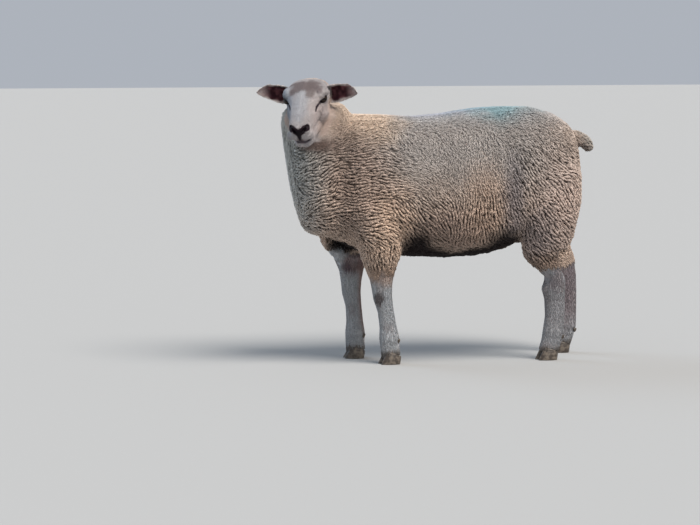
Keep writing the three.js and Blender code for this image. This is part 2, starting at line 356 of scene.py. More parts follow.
# Each stroke: lines, width, depth, and where it is dark its colour, strength and bareness.
FACE = Face(
    [
        Stroke(both_sides(NOSE_BAND), 8.2, -0.8, DARK_SKIN, 2.6, 1.0),
        Stroke(both_sides(NOSTRIL), 3.8, 3.4, BLACK_SKIN, 1.6, 1.0),
        Stroke(both_sides([(28, 127, -12), (26, 130, -24), (18, 139, -30)]), 3.0, -0.9),
        Stroke([[(0, 149, -28), (0, 147, -42), (0, 143, -54)]], 2.6, 1.4, BLACK_SKIN, 1.5, 1.0),
        Stroke([[(0, 149, -28), (0, 147, -44)]], 6.0, 0.0, BLACK_SKIN, 1.5, 1.0),
        Stroke([[(0, 142, -54), (0, 136, -64)]], 9.0, 0.0, DARK_SKIN, 0.9, 0.7),
        Stroke(both_sides(LIP_LINE), 1.9, 2.4, BLACK_SKIN, 1.2, 0.5),
        Stroke(both_sides(LIP_LINE[:3]), 4.6, 0.0, (0.06, 0.045, 0.055), 0.75, 0.3),
        Stroke(both_sides([(10, 141, -44), (20, 131, -48), (27, 117, -52)]), 9.0, -1.8),
        Stroke(both_sides([(0, 121, -79), (14, 113, -79), (24, 100, -76)]), 9.5, -3.2),
        Stroke(both_sides([(25, 125, -44), (31, 113, -54), (35, 99, -58)]), 11.0, -4.6),
        Stroke(TEAR_LINES, 4.0, 1.6, (0.014, 0.007, 0.012), 1.7, 0.7),
        # The fold below each eye is pressed in and darkened along its line with painted shade.
        Stroke(both_sides([(42, 42, -16), (44, 34, -28), (44, 26, -41)]), 2.4, 1.1,
               (0.18, 0.13, 0.12), 0.8),
        Stroke(both_sides([(56, -14, 20), (47, 6, 27), (40, 22, 24)]), 7.0, -1.6),
        Stroke(both_sides([(30, 40, 26), (26, 70, 14), (22, 100, 2)]), 7.0, -0.9),
        Stroke(both_sides([(44, 62, -34), (48, 34, -44), (54, 8, -54)]), 7.0, 1.2),
    ]
)

# Each patch: centre, radii, colour, strength, and where they differ edge, wobble and mirroring.
FACE_PATCHES = [
    # Painted shade: a cool bluish grey over the right side of the face, the side away from the
    # warm key light.
    Patch((-0.060, 0.03, -0.02), (0.045, 0.12, 0.09), (0.20, 0.25, 0.31), 0.6, 0.5, 0.15, False),
    Patch((0.0, 0.075, 0.02), (0.017, 0.07, 0.05), (0.35, 0.36, 0.39), 0.7, 0.5),
    # Painted light: a warm pinkish cast over the left side of the face only, the side the warm key
    # light falls on.
    Patch((0.045, 0.06, -0.03), (0.03, 0.06, 0.05), (0.48, 0.40, 0.38), 0.7, 0.6, 0.2, False),
    Patch((0.004, -0.004, 0.033), (0.044, 0.038, 0.032), (0.13, 0.10, 0.10), 0.90, 0.3, 0.34),
    Patch((0.018, 0.036, 0.034), (0.014, 0.014, 0.02), (0.12, 0.09, 0.085), 0.7, 0.5, 0.2,
          False),
    Patch((-0.001, 0.038, 0.036), (0.009, 0.016, 0.02), (0.38, 0.38, 0.40), 0.9, 0.5, 0.2,
          False),
    Patch((0.055, -0.035, -0.05), (0.03, 0.04, 0.05), (0.56, 0.42, 0.34), 0.75),
    Patch((0.05, 0.015, -0.085), (0.03, 0.05, 0.03), (0.50, 0.37, 0.30), 0.7),
    Patch((0.0, 0.135, -0.062), (0.02, 0.02, 0.012), (0.16, 0.10, 0.11), 0.6),
    Patch((0.0, 0.11, -0.1), (0.03, 0.03, 0.02), (0.34, 0.29, 0.27), 0.5),
]

# Painted shade: the near-black laid under the belly and between the forelegs, where the body
# shades itself.
UNDERSIDE_SHADE: Colour = (0.008, 0.004, 0.005)

FLEECE_PATCHES = [
    Patch((0.0, -0.03, 0.65), (0.35, 0.36, 0.17), (0.47, 0.44, 0.42), 0.85, 0.5),
    Patch((0.0, -0.02, 0.73), (0.13, 0.42, 0.06), (0.52, 0.53, 0.55), 0.8, 0.6),
    Patch((0.02, -0.15, 0.73), (0.10, 0.10, 0.055), (0.20, 0.42, 0.47), 0.66, 0.7, 0.3),
    Patch((0.0, 0.02, 0.71), (0.05, 0.12, 0.03), (0.30, 0.36, 0.54), 0.35, 0.7),
    Patch((0.17, 0.00, 0.39), (0.10, 0.13, 0.06), (0.38, 0.27, 0.22), 0.7, 0.5),
    Patch((0.07, 0.25, 0.70), (0.12, 0.10, 0.07), (0.90, 0.70, 0.54), 0.9, 0.6),
    Patch((0.12, 0.35, 0.62), (0.10, 0.09, 0.12), (0.32, 0.24, 0.20), 0.7, 0.6),
    Patch((0.15, 0.27, 0.50), (0.10, 0.09, 0.12), (0.44, 0.31, 0.25), 0.45, 0.7),
    Patch((0.16, 0.18, 0.36), (0.07, 0.06, 0.13), (0.80, 0.58, 0.43), 0.7, 0.6),
    # Painted light: a pale bluish cast over the front of the chest and neck, for the cool light
    # that rims that edge.
    Patch((0.0, 0.46, 0.50), (0.30, 0.075, 0.32), (0.56, 0.65, 0.66), 0.62, 0.7),
    Patch((0.19, -0.085, 0.44), (0.07, 0.055, 0.11), (0.74, 0.53, 0.40), 0.6, 0.7),
    # Painted shadow in the flank hollow in front of the thigh.
    Patch((0.19, -0.165, 0.46), (0.08, 0.028, 0.13), (0.24, 0.22, 0.25), 0.6, 0.7),
    Patch((0.18, -0.32, 0.42), (0.08, 0.09, 0.16), (0.76, 0.60, 0.53), 0.6, 0.7),
    # Painted shadow at the front of the hind thigh, lower down.
    Patch((0.15, -0.23, 0.36), (0.06, 0.05, 0.09), (0.24, 0.22, 0.25), 0.5, 0.7),
    Patch((0.12, -0.29, 0.285), (0.08, 0.08, 0.035), (0.27, 0.19, 0.145), 0.8, 0.6),
    Patch((0.09, 0.19, 0.270), (0.07, 0.06, 0.025), (0.34, 0.23, 0.17), 0.7, 0.6),
    Patch((0.0, -0.45, 0.62), (0.06, 0.05, 0.05), (0.58, 0.55, 0.50), 0.75, 0.5),
    Patch((0.0, -0.40, 0.56), (0.05, 0.05, 0.05), (0.20, 0.10, 0.09), 0.7, 0.6),
    # Painted shade under the belly, as two flat patches.
    Patch((0.0, 0.055, 0.24), (0.3, 0.12, 0.106), UNDERSIDE_SHADE, 0.99, 0.16, 0.12),
    Patch((0.0, -0.07, 0.24), (0.3, 0.13, 0.106), UNDERSIDE_SHADE, 0.99, 0.16, 0.12),
    # Painted shade in the hollows behind the elbow and in front of the hind leg.
    Patch((0.09, 0.105, 0.33), (0.09, 0.040, 0.075), (0.016, 0.009, 0.009), 0.99, 0.5, 0.1),
    Patch((0.11, -0.150, 0.330), (0.09, 0.055, 0.065), (0.016, 0.009, 0.009), 0.99, 0.5, 0.1),
    # Painted shadow between the forelegs, under the brisket.
    Patch((-0.015, 0.280, 0.337), (0.060, 0.045, 0.036), UNDERSIDE_SHADE, 0.99, 0.25, 0.2, False),
    # Painted shadow on the throat under the jaw.
    Patch((0.095, 0.390, 0.617), (0.040, 0.05, 0.018), (0.13, 0.08, 0.065), 0.85, 0.6, 0.2, False),
]

SHANK_PATCHES = [
    Patch((0.10, 0.205, 0.190), (0.017, 0.017, 0.019), (0.045, 0.035, 0.035), 0.9, 0.4, 0.3,
          False),
    Patch((0.11, 0.19, 0.252), (0.06, 0.06, 0.022), (0.40, 0.25, 0.17), 0.6, 0.6, 0.3, False),
    # The far foreleg is darker and redder than the near one: its own brownish-pink hair, darkened
    # with painted shade for the side away from the light.
    Patch((-0.07, 0.205, 0.20), (0.03, 0.022, 0.13), (0.33, 0.20, 0.16), 0.75, 0.5, 0.3, False),
    # Painted shade on the top of the far foreleg, under the brisket.
    Patch((-0.055, 0.235, 0.285), (0.045, 0.035, 0.035), (0.15, 0.085, 0.08), 0.8, 0.5, 0.4,
          False),
    Patch((-0.045, 0.265, 0.265), (0.02, 0.02, 0.015), (0.07, 0.045, 0.06), 0.8, 0.5, 0.4, False),
    Patch((0.10, -0.31, 0.18), (0.06, 0.09, 0.13), (0.26, 0.25, 0.26), 0.8, 0.5, 0.2, False),
    Patch((0.05, -0.31, 0.20), (0.03, 0.06, 0.10), (0.17, 0.12, 0.125), 0.5, 0.7),
    Patch((0.115, -0.315, 0.235), (0.03, 0.022, 0.03), (0.17, 0.14, 0.15), 0.6, 0.5, 0.5, False),
    # Painted shade: the far hind leg in a dark maroon grey, for the side away from the light.
    Patch((-0.06, -0.40, 0.20), (0.04, 0.06, 0.12), (0.14, 0.09, 0.10), 0.7, 0.7, 0.2, False),
]


# ---------------------------------------------------------------- the pelt's fields


@dataclass(frozen=True)
class Region:
    """How much of each kind of covering every point has."""

    face: Array
    ear: Array
    shank: Array
    fleece: Array


@dataclass(frozen=True)
class LieAnchor:
    """The way the wool lies near a place on the side of the body.

    The angle is in degrees: 0 lies back along the body, 90 straight down.
    """

    ahead: float
    up: float
    angle: float


WOOL_LIE = [
    LieAnchor(0.43, 0.56, -24),
    LieAnchor(0.40, 0.66, -30),
    LieAnchor(0.33, 0.71, -38),
    LieAnchor(0.32, 0.58, -12),
    LieAnchor(0.36, 0.46, -20),
    LieAnchor(0.26, 0.46, 2),
    LieAnchor(0.22, 0.37, 10),
    LieAnchor(0.26, 0.33, 82),
    LieAnchor(0.21, 0.31, 88),
    LieAnchor(0.16, 0.32, 72),
    LieAnchor(0.19, 0.27, 84),
    LieAnchor(0.17, 0.55, 14),
    LieAnchor(0.12, 0.44, 36),
    LieAnchor(0.08, 0.35, 58),
    LieAnchor(0.00, 0.34, 78),
    LieAnchor(-0.10, 0.34, 84),
    LieAnchor(0.10, 0.66, 78),
    LieAnchor(-0.05, 0.60, 86),
    LieAnchor(-0.05, 0.47, 84),
    LieAnchor(-0.17, 0.45, 70),
    LieAnchor(-0.22, 0.42, 62),
    LieAnchor(-0.30, 0.47, 44),
    LieAnchor(-0.36, 0.57, 28),
    LieAnchor(-0.38, 0.44, 44),
    LieAnchor(-0.24, 0.66, 48),
    LieAnchor(-0.33, 0.69, 20),
    LieAnchor(-0.30, 0.34, 48),
    LieAnchor(-0.27, 0.28, 62),
]


@dataclass(frozen=True)
class Pelt:
    """The animal's covering as fields over space, shared by the skin and the coat.

    Depths, lines and bands are in metres, measured on the body or on the head. The thinnest
    growth is a share of the full one, and most_upward is an angle in degrees.
    """

    fleece_depth: float = 16 * MM
    smooth_depth: float = 6 * MM
    shank_depth: float = 1.4 * MM
    face_depth: float = 1.5 * MM
    ear_depth: float = 0.7 * MM
    face_line: float = 0.052
    near_wool_line: float = 0.260
    far_wool_line: float = 0.325
    hind_wool_line: float = 0.266
    edge_blend: Span = (-0.004, 0.004)
    head_low: Point = (-0.17, -0.13, -0.13)
    head_high: Point = (0.17, 0.2, 0.09)
    cheek: float = 0.085
    throat: Span = (-0.117, -0.108)
    ear_root: float = 0.058
    ear_rear: float = -0.088
    ear_bottom: float = -0.045
    ear_length: float = 0.088
    smooth_above: Span = (0.42, 0.54)
    smooth_behind: Span = (-0.21, -0.13)
    smooth_ahead: Span = (0.10, 0.24)
    back_above: Span = (0.52, 0.68)
    breast_ahead: Span = (0.36, 0.42)
    thinnest: float = 0.22
    cuff: Span = (-0.01, 0.07)
    nape: Span = (-0.005, 0.05)
    nape_reach: Span = (0.15, 0.2)
    tail_behind: Span = (0.375, 0.41)
    tail_half: float = 0.055
    tail_up: float = 0.62
    most_upward: float = -65.0
    fleece_colour: Colour = (0.66, 0.51, 0.415)
    face_colour: Colour = (0.39, 0.36, 0.36)
    shank_colour: Colour = (0.35, 0.36, 0.375)
    shank_mottle: Colour = (0.25, 0.22, 0.22)
    coronet_colour: Colour = (0.085, 0.068, 0.055)
    coronet_band: Span = (0.036, 0.048)
    ear_back: Colour = (0.52, 0.46, 0.44)
    # The ear's inside colour is darkened with painted shade of its cup.
    ear_inside_and_shade: Colour = (0.026, 0.006, 0.010)
    ear_red: Colour = (0.22, 0.085, 0.095)
    broad: ValueNoise = field(default_factory=lambda: ValueNoise(3))
    fine: ValueNoise = field(default_factory=lambda: ValueNoise(4))

    def face_edge(self, local: Array) -> Array:
        """How far ahead of the edge of the wool behind the face points are.

        Args:
            local: places in the head's frame, one row each.

        Returns:
            Metres, below 0 in the wool.
        """
        ragged = 0.006 * self.fine(local, 0.014)
        low = np.maximum(-0.048 - local[:, 2], 0)
        high = np.maximum(local[:, 2], 0)
        return local[:, 1] + self.face_line + 0.4 * local[:, 2] + 0.35 * high - 0.9 * low + ragged

    def wool_edge(self, points: Array) -> Array:
        """How far above the lower edge of a leg's wool points are.

        Args:
            points: places, one row each.

        Returns:
            Metres, below 0 on the haired part of the leg.
        """
        place = BODY.local(points)
        far_leg = smoothstep(-place[:, 0], 0.030, 0.055) * smoothstep(place[:, 1], 0.18, 0.21)
        front = self.near_wool_line + (self.far_wool_line - self.near_wool_line) * far_leg
        line = np.where(place[:, 1] > 0, front, self.hind_wool_line)
        return place[:, 2] - line + 0.012 * self.fine(points, 0.016)

    def regions(self, points: Array) -> Region:
        """Weighs the kinds of covering.

        Args:
            points: places on or near the skin, one row each.

        Returns:
            The weights, which add up to 1 at each point.
        """
        local = HEAD.local(points)
        side, ahead, up = np.abs(local[:, 0]), local[:, 1], local[:, 2]
        near = within(local, self.head_low, self.head_high)
        ear = near * smoothstep(side, self.ear_root, self.ear_root + 0.008)
        ear *= (ahead > self.ear_rear) & (up > self.ear_bottom)
        ear *= 1 - smoothstep(ahead - 0.36 * (side - 0.055), -0.02, -0.01)
        face = near * smoothstep(self.face_edge(local), *self.edge_blend) * (side < self.cheek)
        face *= smoothstep(up, *self.throat) * (1 - ear)
        shank = 1 - smoothstep(self.wool_edge(points), *self.edge_blend)
        return Region(face, ear, shank, np.clip(1 - face - ear - shank, 0, 1))

    def coarseness(self, points: Array) -> Array:
        """0 where the wool is fine and smooth, 1 where it stands in ridged locks.

        Args:
            points: places, one row each.

        Returns:
            One value for each point.
        """
        place = BODY.local(points)
        high = smoothstep(place[:, 2], *self.smooth_above)
        middle = smoothstep(place[:, 1], *self.smooth_behind)
        middle *= 1 - smoothstep(place[:, 1], *self.smooth_ahead)
        top = smoothstep(place[:, 2], *self.back_above)
        front = smoothstep(place[:, 1] - 0.4 * place[:, 0], *self.breast_ahead)
        return 1 - np.maximum.reduce((0.92 * high * middle, 0.8 * top, 0.6 * front))

    def growth(self, points: Array) -> Array:
        """1 on the body, less where the wool thins out at the face, legs and tail.

        Args:
            points: places, one row each.

        Returns:
            One share of the full growth for each point.
        """
        place, local = BODY.local(points), HEAD.local(points)
        cuff = smoothstep(self.wool_edge(points), *self.cuff)
        nape = smoothstep(-self.face_edge(local), *self.nape)
        nape = np.maximum(nape, smoothstep(np.linalg.norm(local, axis=1), *self.nape_reach))
        tail = smoothstep(-place[:, 1], *self.tail_behind)
        tail *= np.abs(place[:, 0]) < self.tail_half
        tail *= np.abs(place[:, 2] - self.tail_up) < 0.05
        thin, rest = self.thinnest, 1 - self.thinnest
        return (thin + rest * cuff) * (thin + rest * nape) * (1 - 0.5 * tail)

    def depth(self, points: Array, region: Region) -> Array:
        """How thick the coat is over the skin.

        Args:
            points: places, one row each.
            region: the weights of the kinds of covering there.

        Returns:
            Metres, one value for each point.
        """
        coarse = self.coarseness(points)
        wool = self.smooth_depth + (self.fleece_depth - self.smooth_depth) * coarse
        wool = wool * self.growth(points)
        return (
            region.fleece * wool
            + region.face * self.face_depth
            + region.ear * self.ear_depth
            + region.shank * self.shank_depth
        )

    def lie(self, points: Array, normals: Array, region: Region) -> Array:
        """The way the coat lies, as unit vectors along the skin.

        Args:
            points: places, one row each.
            normals: the way the skin faces there.
            region: the weights of the kinds of covering there.

        Returns:
            One direction for each point.
        """
        blur = 0.02
        broad_swerve, fine_swerve = 24, 20
        place = BODY.local(points)
        doubled = np.zeros((len(points), 2))
        for anchor in WOOL_LIE:
            gap = (place[:, 1] - anchor.ahead) ** 2 + (place[:, 2] - anchor.up) ** 2
            angle = math.radians(2 * anchor.angle)
            weight = 1 / (gap + blur**2) ** 2
            doubled += weight[:, None] * (math.cos(angle), math.sin(angle))
        angle = np.arctan2(doubled[:, 1], doubled[:, 0]) / 2
        angle = np.where(angle < math.radians(self.most_upward), angle + math.pi, angle)
        broad, fine = self.broad(points, 0.045), self.fine(points, 0.018)
        angle += np.radians(broad_swerve * broad + fine_swerve * fine)
        front = smoothstep(np.abs(normals[:, 1]), 0.88, 0.99)
        level = smoothstep(np.abs(normals[:, 2]), 0.6, 0.9)
        angle = (angle + (math.pi / 2 - angle) * front) * (1 - level)
        back = flatten(np.tile((0.0, 1.0, 0.0), (len(points), 1)), normals)
        down = flatten(np.tile((0.0, 0.0, -1.0), (len(points), 1)), normals)
        wool = np.cos(angle)[:, None] * back + np.sin(angle)[:, None] * down
        local = HEAD.local(points)
        side = np.sign(local[:, 0])[:, None]
        rearward = HEAD.outward((0, -1, -0.25)) + side * HEAD.outward((0.25, 0, 0))
        outward = side * HEAD.outward((0.9, 0.3, 0.1)) + HEAD.outward((0, 0, -0.05))
        mixed = (
            unit(wool) * region.fleece[:, None]
            + unit(flatten(rearward, normals)) * region.face[:, None]
            + unit(flatten(outward, normals)) * region.ear[:, None]
            + unit(down) * region.shank[:, None]
        )
        return unit(flatten(mixed, normals))

    def ear_hollow(self, points: Array, normals: Array) -> Array:
        """How much of the bare inside of an ear each point takes.

        Args:
            points: places, one row each.
            normals: the way the skin faces there.

        Returns:
            One weight from 0 to 1 for each point.
        """
        local = HEAD.local(points)
        along = (np.abs(local[:, 0]) - 0.06) / self.ear_length
        middle = -0.004 + 0.017 * along - 0.006 * np.sign(local[:, 0]) * along
        half = 0.031 * np.sin(np.pi * np.clip(0.25 + 0.75 * along, 0, 1) ** 0.9) ** 0.62
        across = np.abs(local[:, 2] - middle) / np.maximum(half, 0.004)
        across += 0.12 * self.fine(local, 0.009)
        facing = smoothstep(HEAD.direction(normals)[:, 1], 0.0, 0.35)
        inner = 1 - smoothstep(across, 0.56, 0.9)
        out = smoothstep(along, -0.08, 0.02) * (1 - 0.85 * smoothstep(along, 0.5, 0.98))
        near = (np.abs(local[:, 1]) < 0.1) & (np.abs(local[:, 2]) < 0.06)
        return near * facing * inner * out

    def marked(self, colour: Colour, patches: Sequence[Patch], places: Array) -> Array:
        """A plain colour with patches laid over it, one row for each place.

        Args:
            colour: the plain colour.
            patches: what lies over it, in order.
            places: rows in the patches' frame.

        Returns:
            Linear red, green and blue, one row each.
        """
        rows = np.tile(colour, (len(places), 1)).astype(float)
        for patch in patches:
            rows = blend(rows, patch.colour, patch.mask(places, self.broad))
        return rows

    def tint(self, points: Array, normals: Array, region: Region) -> Array:
        """The colour of hair and wool at points.

        Args:
            points: places on the skin, one row each.
            normals: the way the skin faces there.
            region: the weights of the kinds of covering.

        Returns:
            Linear red, green and blue, one row each.
        """
        local, place = HEAD.local(points), BODY.local(points)
        wool = self.marked(self.fleece_colour, FLEECE_PATCHES, place)
        streaks = self.fine(points * (1, 1, 0.25), 0.012)
        wool *= (1 + 0.09 * self.broad(points, 0.05) + 0.08 * streaks)[:, None]
        face = self.marked(self.face_colour, FACE_PATCHES, local)
        face *= (1 + 0.05 * self.fine(points, 0.008))[:, None]
        # Painted shade: the ear's inside is its own dark pink skin, darkest deep in the cup at the
        # root and lighter red towards the rim and tip.
        red = 0.45 * smoothstep(self.fine(local, 0.009), -0.6, 0.9)
        red += 0.5 * smoothstep(np.abs(local[:, 0]), 0.10, 0.14)
        inside = blend(self.marked(self.ear_inside_and_shade, (), points), self.ear_red, red)
        outside = self.marked(self.ear_back, (), points)
        ear = blend(outside, inside, self.ear_hollow(points, normals))
        shank = self.marked(self.shank_colour, SHANK_PATCHES, place)
        mottle = smoothstep(self.broad(points * (1, 1, 0.5), 0.018), 0.0, 0.6)
        shank = blend(shank, self.shank_mottle, 0.4 * mottle)
        ragged = points[:, 2] + 0.004 * self.fine(points, 0.01)
        coronet = 1 - smoothstep(ragged, *self.coronet_band)
        shank = blend(shank, self.coronet_colour, 0.85 * coronet)
        return (
            wool * region.fleece[:, None]
            + face * region.face[:, None]
            + ear * region.ear[:, None]
            + shank * region.shank[:, None]
        )


PELT = Pelt()


# ---------------------------------------------------------------- eyes and their lids


@dataclass(frozen=True)
class Eye:
    """An eye's place, gaze and lids. Sizes of lids are in degrees round the ball.

    The fold's depth is in millimetres; where the eye is open, the skin goes behind the ball.
    """

    side: int
    margin: float = 1.5 * MM
    half_length: float = 57.0
    upper: float = 22.0
    lower: float = 19.0
    fade: Span = (16.0, 34.0)
    fold_depth: float = 1.1
    fold_out: float = 17
    fold_width: float = 4.0
    behind_ball: float = 0.82

    @property
    def name(self) -> str:
        """The eye's CAD node."""
        return "eye_left" if self.side > 0 else "eye_right"

    def ball(self) -> tuple[Array, float]:
        """The centre and radius of the eyeball."""
        low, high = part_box(self.name)
        return np.array((low + high) / 2), (high - low).z / 2

    def axes(self) -> tuple[Array, Array, Array]:
        """Unit vectors along the gaze, to the inner corner, and up across the lids.

        Returns:
            The three directions.
        """
        gaze = unit(HEAD.outward((0.73 * self.side, 0.66, 0.14)))
        corner = HEAD.outward((-0.5 * self.side, 0.72, -0.42))
        corner = unit(corner - gaze * (corner @ gaze))
        up = np.cross(gaze, corner) * self.side
        return gaze, corner, up

    def opening(self, points: Array) -> tuple[Array, Array]:
        """Where points lie against the edge of the lids.

        Args:
            points: places near the eye, one row each.

        Returns:
            Degrees outside the edge, negative within it, and the distance to the centre.
        """
        centre, _ = self.ball()
        gaze, corner, up = self.axes()
        offset = points - centre
        ahead = offset @ gaze
        x = np.degrees(np.arctan2(offset @ corner, ahead))
        y = np.degrees(np.arctan2(offset @ up, ahead))
        inner = np.clip(np.abs(x) / self.half_length, 0, 1)
        arch = np.sqrt(np.clip(1 - inner**2.2, 0, 1))
        height = np.where(y > 0, self.upper, self.lower) * arch
        outside = np.abs(y) - height
        beyond = np.hypot(np.maximum(np.abs(x) - self.half_length, 0), y)
        outside = np.where(np.abs(x) > self.half_length, beyond, outside)
        return np.where(ahead > 0, outside, 180.0), np.linalg.norm(offset, axis=1)

    def lid(self, points: Array) -> Array:
        """Points moved to make the lids, with the ball showing between them.

        Args:
            points: places, one row each.

        Returns:
            The moved points.
        """
        centre, radius = self.ball()
        outside, distance = self.opening(points)
        rim = radius + self.margin * (1.15 - 0.3 * smoothstep(outside, 4, 14))
        bend = (outside - self.fold_out) / self.fold_width
        fold = self.fold_depth * MM * np.exp(-(bend**2))
        edge = smoothstep(outside, -2.0, 2.5)
        behind = radius * self.behind_ball
        shape = behind + (rim - behind) * edge - fold
        weight = 1 - smoothstep(outside, *self.fade)
        weight *= distance < radius * 2.4
        target = distance + (shape - distance) * weight
        return centre + (points - centre) * (target / distance)[:, None]

    def liner(self, points: Array) -> Array:
        """The dark bare edge of the lids, from 0 to 1.

        Args:
            points: places, one row each.

        Returns:
            One weight for each point.
        """
        outside, distance = self.opening(points)
        _, radius = self.ball()
        near = distance < radius * 1.6
        return near * (1 - smoothstep(outside, 8.0, 18.0))


EYES = (Eye(1), Eye(-1))


# ---------------------------------------------------------------- meshes from arrays


def read_points(mesh: bpy.types.Mesh) -> Array:
    """The vertices of a mesh as rows.

    Args:
        mesh: what to read.

    Returns:
        One row for each vertex.
    """
    flat = np.empty(len(mesh.vertices) * 3)
    mesh.vertices.foreach_get("co", flat)
    return flat.reshape(-1, 3)


def read_normals(mesh: bpy.types.Mesh) -> Array:
    """The vertex normals of a mesh as rows.

    Args:
        mesh: what to read.

    Returns:
        One row for each vertex.
    """
    flat = np.empty(len(mesh.vertices) * 3)
    mesh.vertex_normals.foreach_get("vector", flat)
    return flat.reshape(-1, 3)


def read_edges(mesh: bpy.types.Mesh) -> Array:
    """The two vertex numbers of each edge of a mesh as rows.

    Args:
        mesh: what to read.

    Returns:
        One row for each edge.
    """
    flat = np.empty(len(mesh.edges) * 2, dtype=np.int32)
    mesh.edges.foreach_get("vertices", flat)
    return flat.reshape(-1, 2)


def write_points(mesh: bpy.types.Mesh, points: Array) -> None:
    """Moves the vertices of a mesh."""
    mesh.vertices.foreach_set("co", points.ravel())
    mesh.update()


def tree_of(mesh: bpy.types.Mesh) -> BVHTree:
    """A tree for finding the nearest place on a mesh."""
    corners = [vertex.co.copy() for vertex in mesh.vertices]
    return BVHTree.FromPolygons(corners, [tuple(face.vertices) for face in mesh.polygons])


def write_field(mesh: bpy.types.Mesh, name: str, values: Array) -> None:
    """Stores one value, vector or colour for each vertex of a mesh.

    Args:
        mesh: what to write on.
        name: the field's name.
        values: a number or a row of three for each vertex.
    """
    kind, entry = ("FLOAT", "value") if values.ndim == 1 else ("FLOAT_VECTOR", "vector")
    layer = mesh.attributes.new(name, kind, "POINT")
    layer.data.foreach_set(entry, values.astype("f4").ravel())


@contextmanager
def opened(mesh: bpy.types.Mesh) -> Iterator[bmesh.types.BMesh]:
    """A mesh as a bmesh that is written back when the work on it is done.

    Args:
        mesh: what to work on.

    Returns:
        The bmesh, for a with statement.
    """
    bm = bmesh.new()
    bm.from_mesh(mesh)
    bm.verts.ensure_lookup_table()
    yield bm
    bm.to_mesh(mesh)
    bm.free()


def new_object(name: str, data: bpy.types.ID) -> bpy.types.Object:
    """A new object in the scene, at the origin.

    Args:
        name: the object's name.
        data: its mesh, lamp or camera.

    Returns:
        The object.
    """
    made = bpy.data.objects.new(name, data)
    bpy.context.scene.collection.objects.link(made)
    return made


def object_from(bm: bmesh.types.BMesh, name: str) -> bpy.types.Object:
    """A new object with a bmesh's shape; the bmesh is freed.

    Args:
        bm: the shape.
        name: the object's and its mesh's name.

    Returns:
        The object.
    """
    mesh = bpy.data.meshes.new(name)
    bm.to_mesh(mesh)
    bm.free()
    return new_object(name, mesh)


def finish_piece(piece: bpy.types.Object, material: bpy.types.Material) -> None:
    """Gives a piece its finish and its slot, and lets it ride on the body.

    Args:
        piece: an object in the scene.
        material: its finish.
    """
    piece.data.materials.clear()
    piece.data.materials.append(material)
    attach(piece, "root")


def with_modifiers(piece: bpy.types.Object) -> bpy.types.Mesh:
    """The piece's mesh with its modifiers applied."""
    graph = bpy.context.evaluated_depsgraph_get()
    return bpy.data.meshes.new_from_object(piece.evaluated_get(graph), depsgraph=graph)


# ---------------------------------------------------------------- shaders


class Nodes:
    """A node tree being wired."""

    def __init__(self, tree: bpy.types.NodeTree) -> None:
        """Takes an empty or fresh tree.

        Args:
            tree: the tree to fill.
        """
        self.tree = tree

    def add(self, kind: str, inputs: dict | None = None, **settings: object) -> bpy.types.Node:
        """Adds a node.

        Args:
            kind: the node's type without its ShaderNode prefix.
            inputs: sockets by name or number, each a value or an output to link.
            **settings: the node's own properties.

        Returns:
            The node.
        """
        node = self.tree.nodes.new("ShaderNode" + kind)
        for key, value in settings.items():
            setattr(node, key, value)
        self.dress(node, inputs or {})
        return node

    def dress(self, node: bpy.types.Node, inputs: dict) -> None:
        """Feeds several of a node's inputs, by name or number."""
        for key, value in inputs.items():
            self.feed(node.inputs[key], value)

    def feed(self, socket: bpy.types.NodeSocket, value: object) -> None:
        """Links an output to a socket, or sets its value.

        Args:
            socket: an input.
            value: an output or a plain value.
        """
        if isinstance(value, bpy.types.NodeSocket):
            self.tree.links.new(value, socket)
        else:
            socket.default_value = value

    def math(self, operation: str, *values: object) -> bpy.types.NodeSocket:
        """The result of a Math node."""
        node = self.add("Math", dict(enumerate(values)), operation=operation)
        return node.outputs[0]

    def mix(self, weight: object, first: object, second: object, mode: str = "MIX") -> object:
        """The colour between two colours.

        Args:
            weight: the share of the second.
            first: a colour or an output.
            second: a colour or an output.
            mode: how they are blended.

        Returns:
            The output.
        """
        node = self.add("Mix", data_type="RGBA", blend_type=mode)
        colours = [(*c, 1) if isinstance(c, tuple) else c for c in (first, second)]
        self.dress(node, {0: weight, 6: colours[0], 7: colours[1]})
        return node.outputs[2]

    def grey(self, value: object) -> bpy.types.NodeSocket:
        """A grey of a value."""
        return self.add("CombineColor", dict.fromkeys(range(3), value)).outputs[0]

    def range(self, value: object, low: float, high: float, start: float, end: float) -> object:
        """A value mapped smoothly from low and high to start and end."""
        inputs = dict(enumerate((value, low, high, start, end)))
        return self.add("MapRange", inputs, interpolation_type="SMOOTHSTEP").outputs[0]


def new_material(name: str) -> tuple[bpy.types.Material, Nodes, bpy.types.Node]:
    """A material with its node tree and Principled shader.

    Args:
        name: the material's name.

    Returns:
        The material, its tree to wire and its shader.
    """
    material = bpy.data.materials.new(name)
    material.use_nodes = True
    nodes = Nodes(material.node_tree)
    return material, nodes, material.node_tree.nodes["Principled BSDF"]


def fibre_group() -> bpy.types.NodeTree:
    """The relief of fine fibres that run along a stretched pattern, built once.

    Returns:
        The group, with Vector, Scale and Crimp in and Height out.
    """
    name = "fine fibres"
    if name in bpy.data.node_groups:
        return bpy.data.node_groups[name]
    group = bpy.data.node_groups.new(name, "ShaderNodeTree")
    for socket, kind in (("Vector", "Vector"), ("Scale", "Float"), ("Crimp", "Float")):
        group.interface.new_socket(socket, in_out="INPUT", socket_type="NodeSocket" + kind)
    group.interface.new_socket("Height", in_out="OUTPUT", socket_type="NodeSocketFloat")
    nodes = Nodes(group)
    taken = nodes.tree.nodes.new("NodeGroupInput").outputs
    given = nodes.tree.nodes.new("NodeGroupOutput").inputs
    grain = {"Vector": taken["Vector"], "Scale": taken["Scale"], "Detail": 3}
    strands = nodes.add("TexNoise", grain)
    crimp = {"Vector": taken["Vector"], "Scale": taken["Crimp"], "Distortion": 3.0}
    waves = nodes.add("TexWave", crimp, bands_direction="Y")
    mixed = nodes.math("MULTIPLY_ADD", waves.outputs["Fac"], 0.4, strands.outputs["Fac"])
    nodes.feed(given["Height"], mixed)
    return group


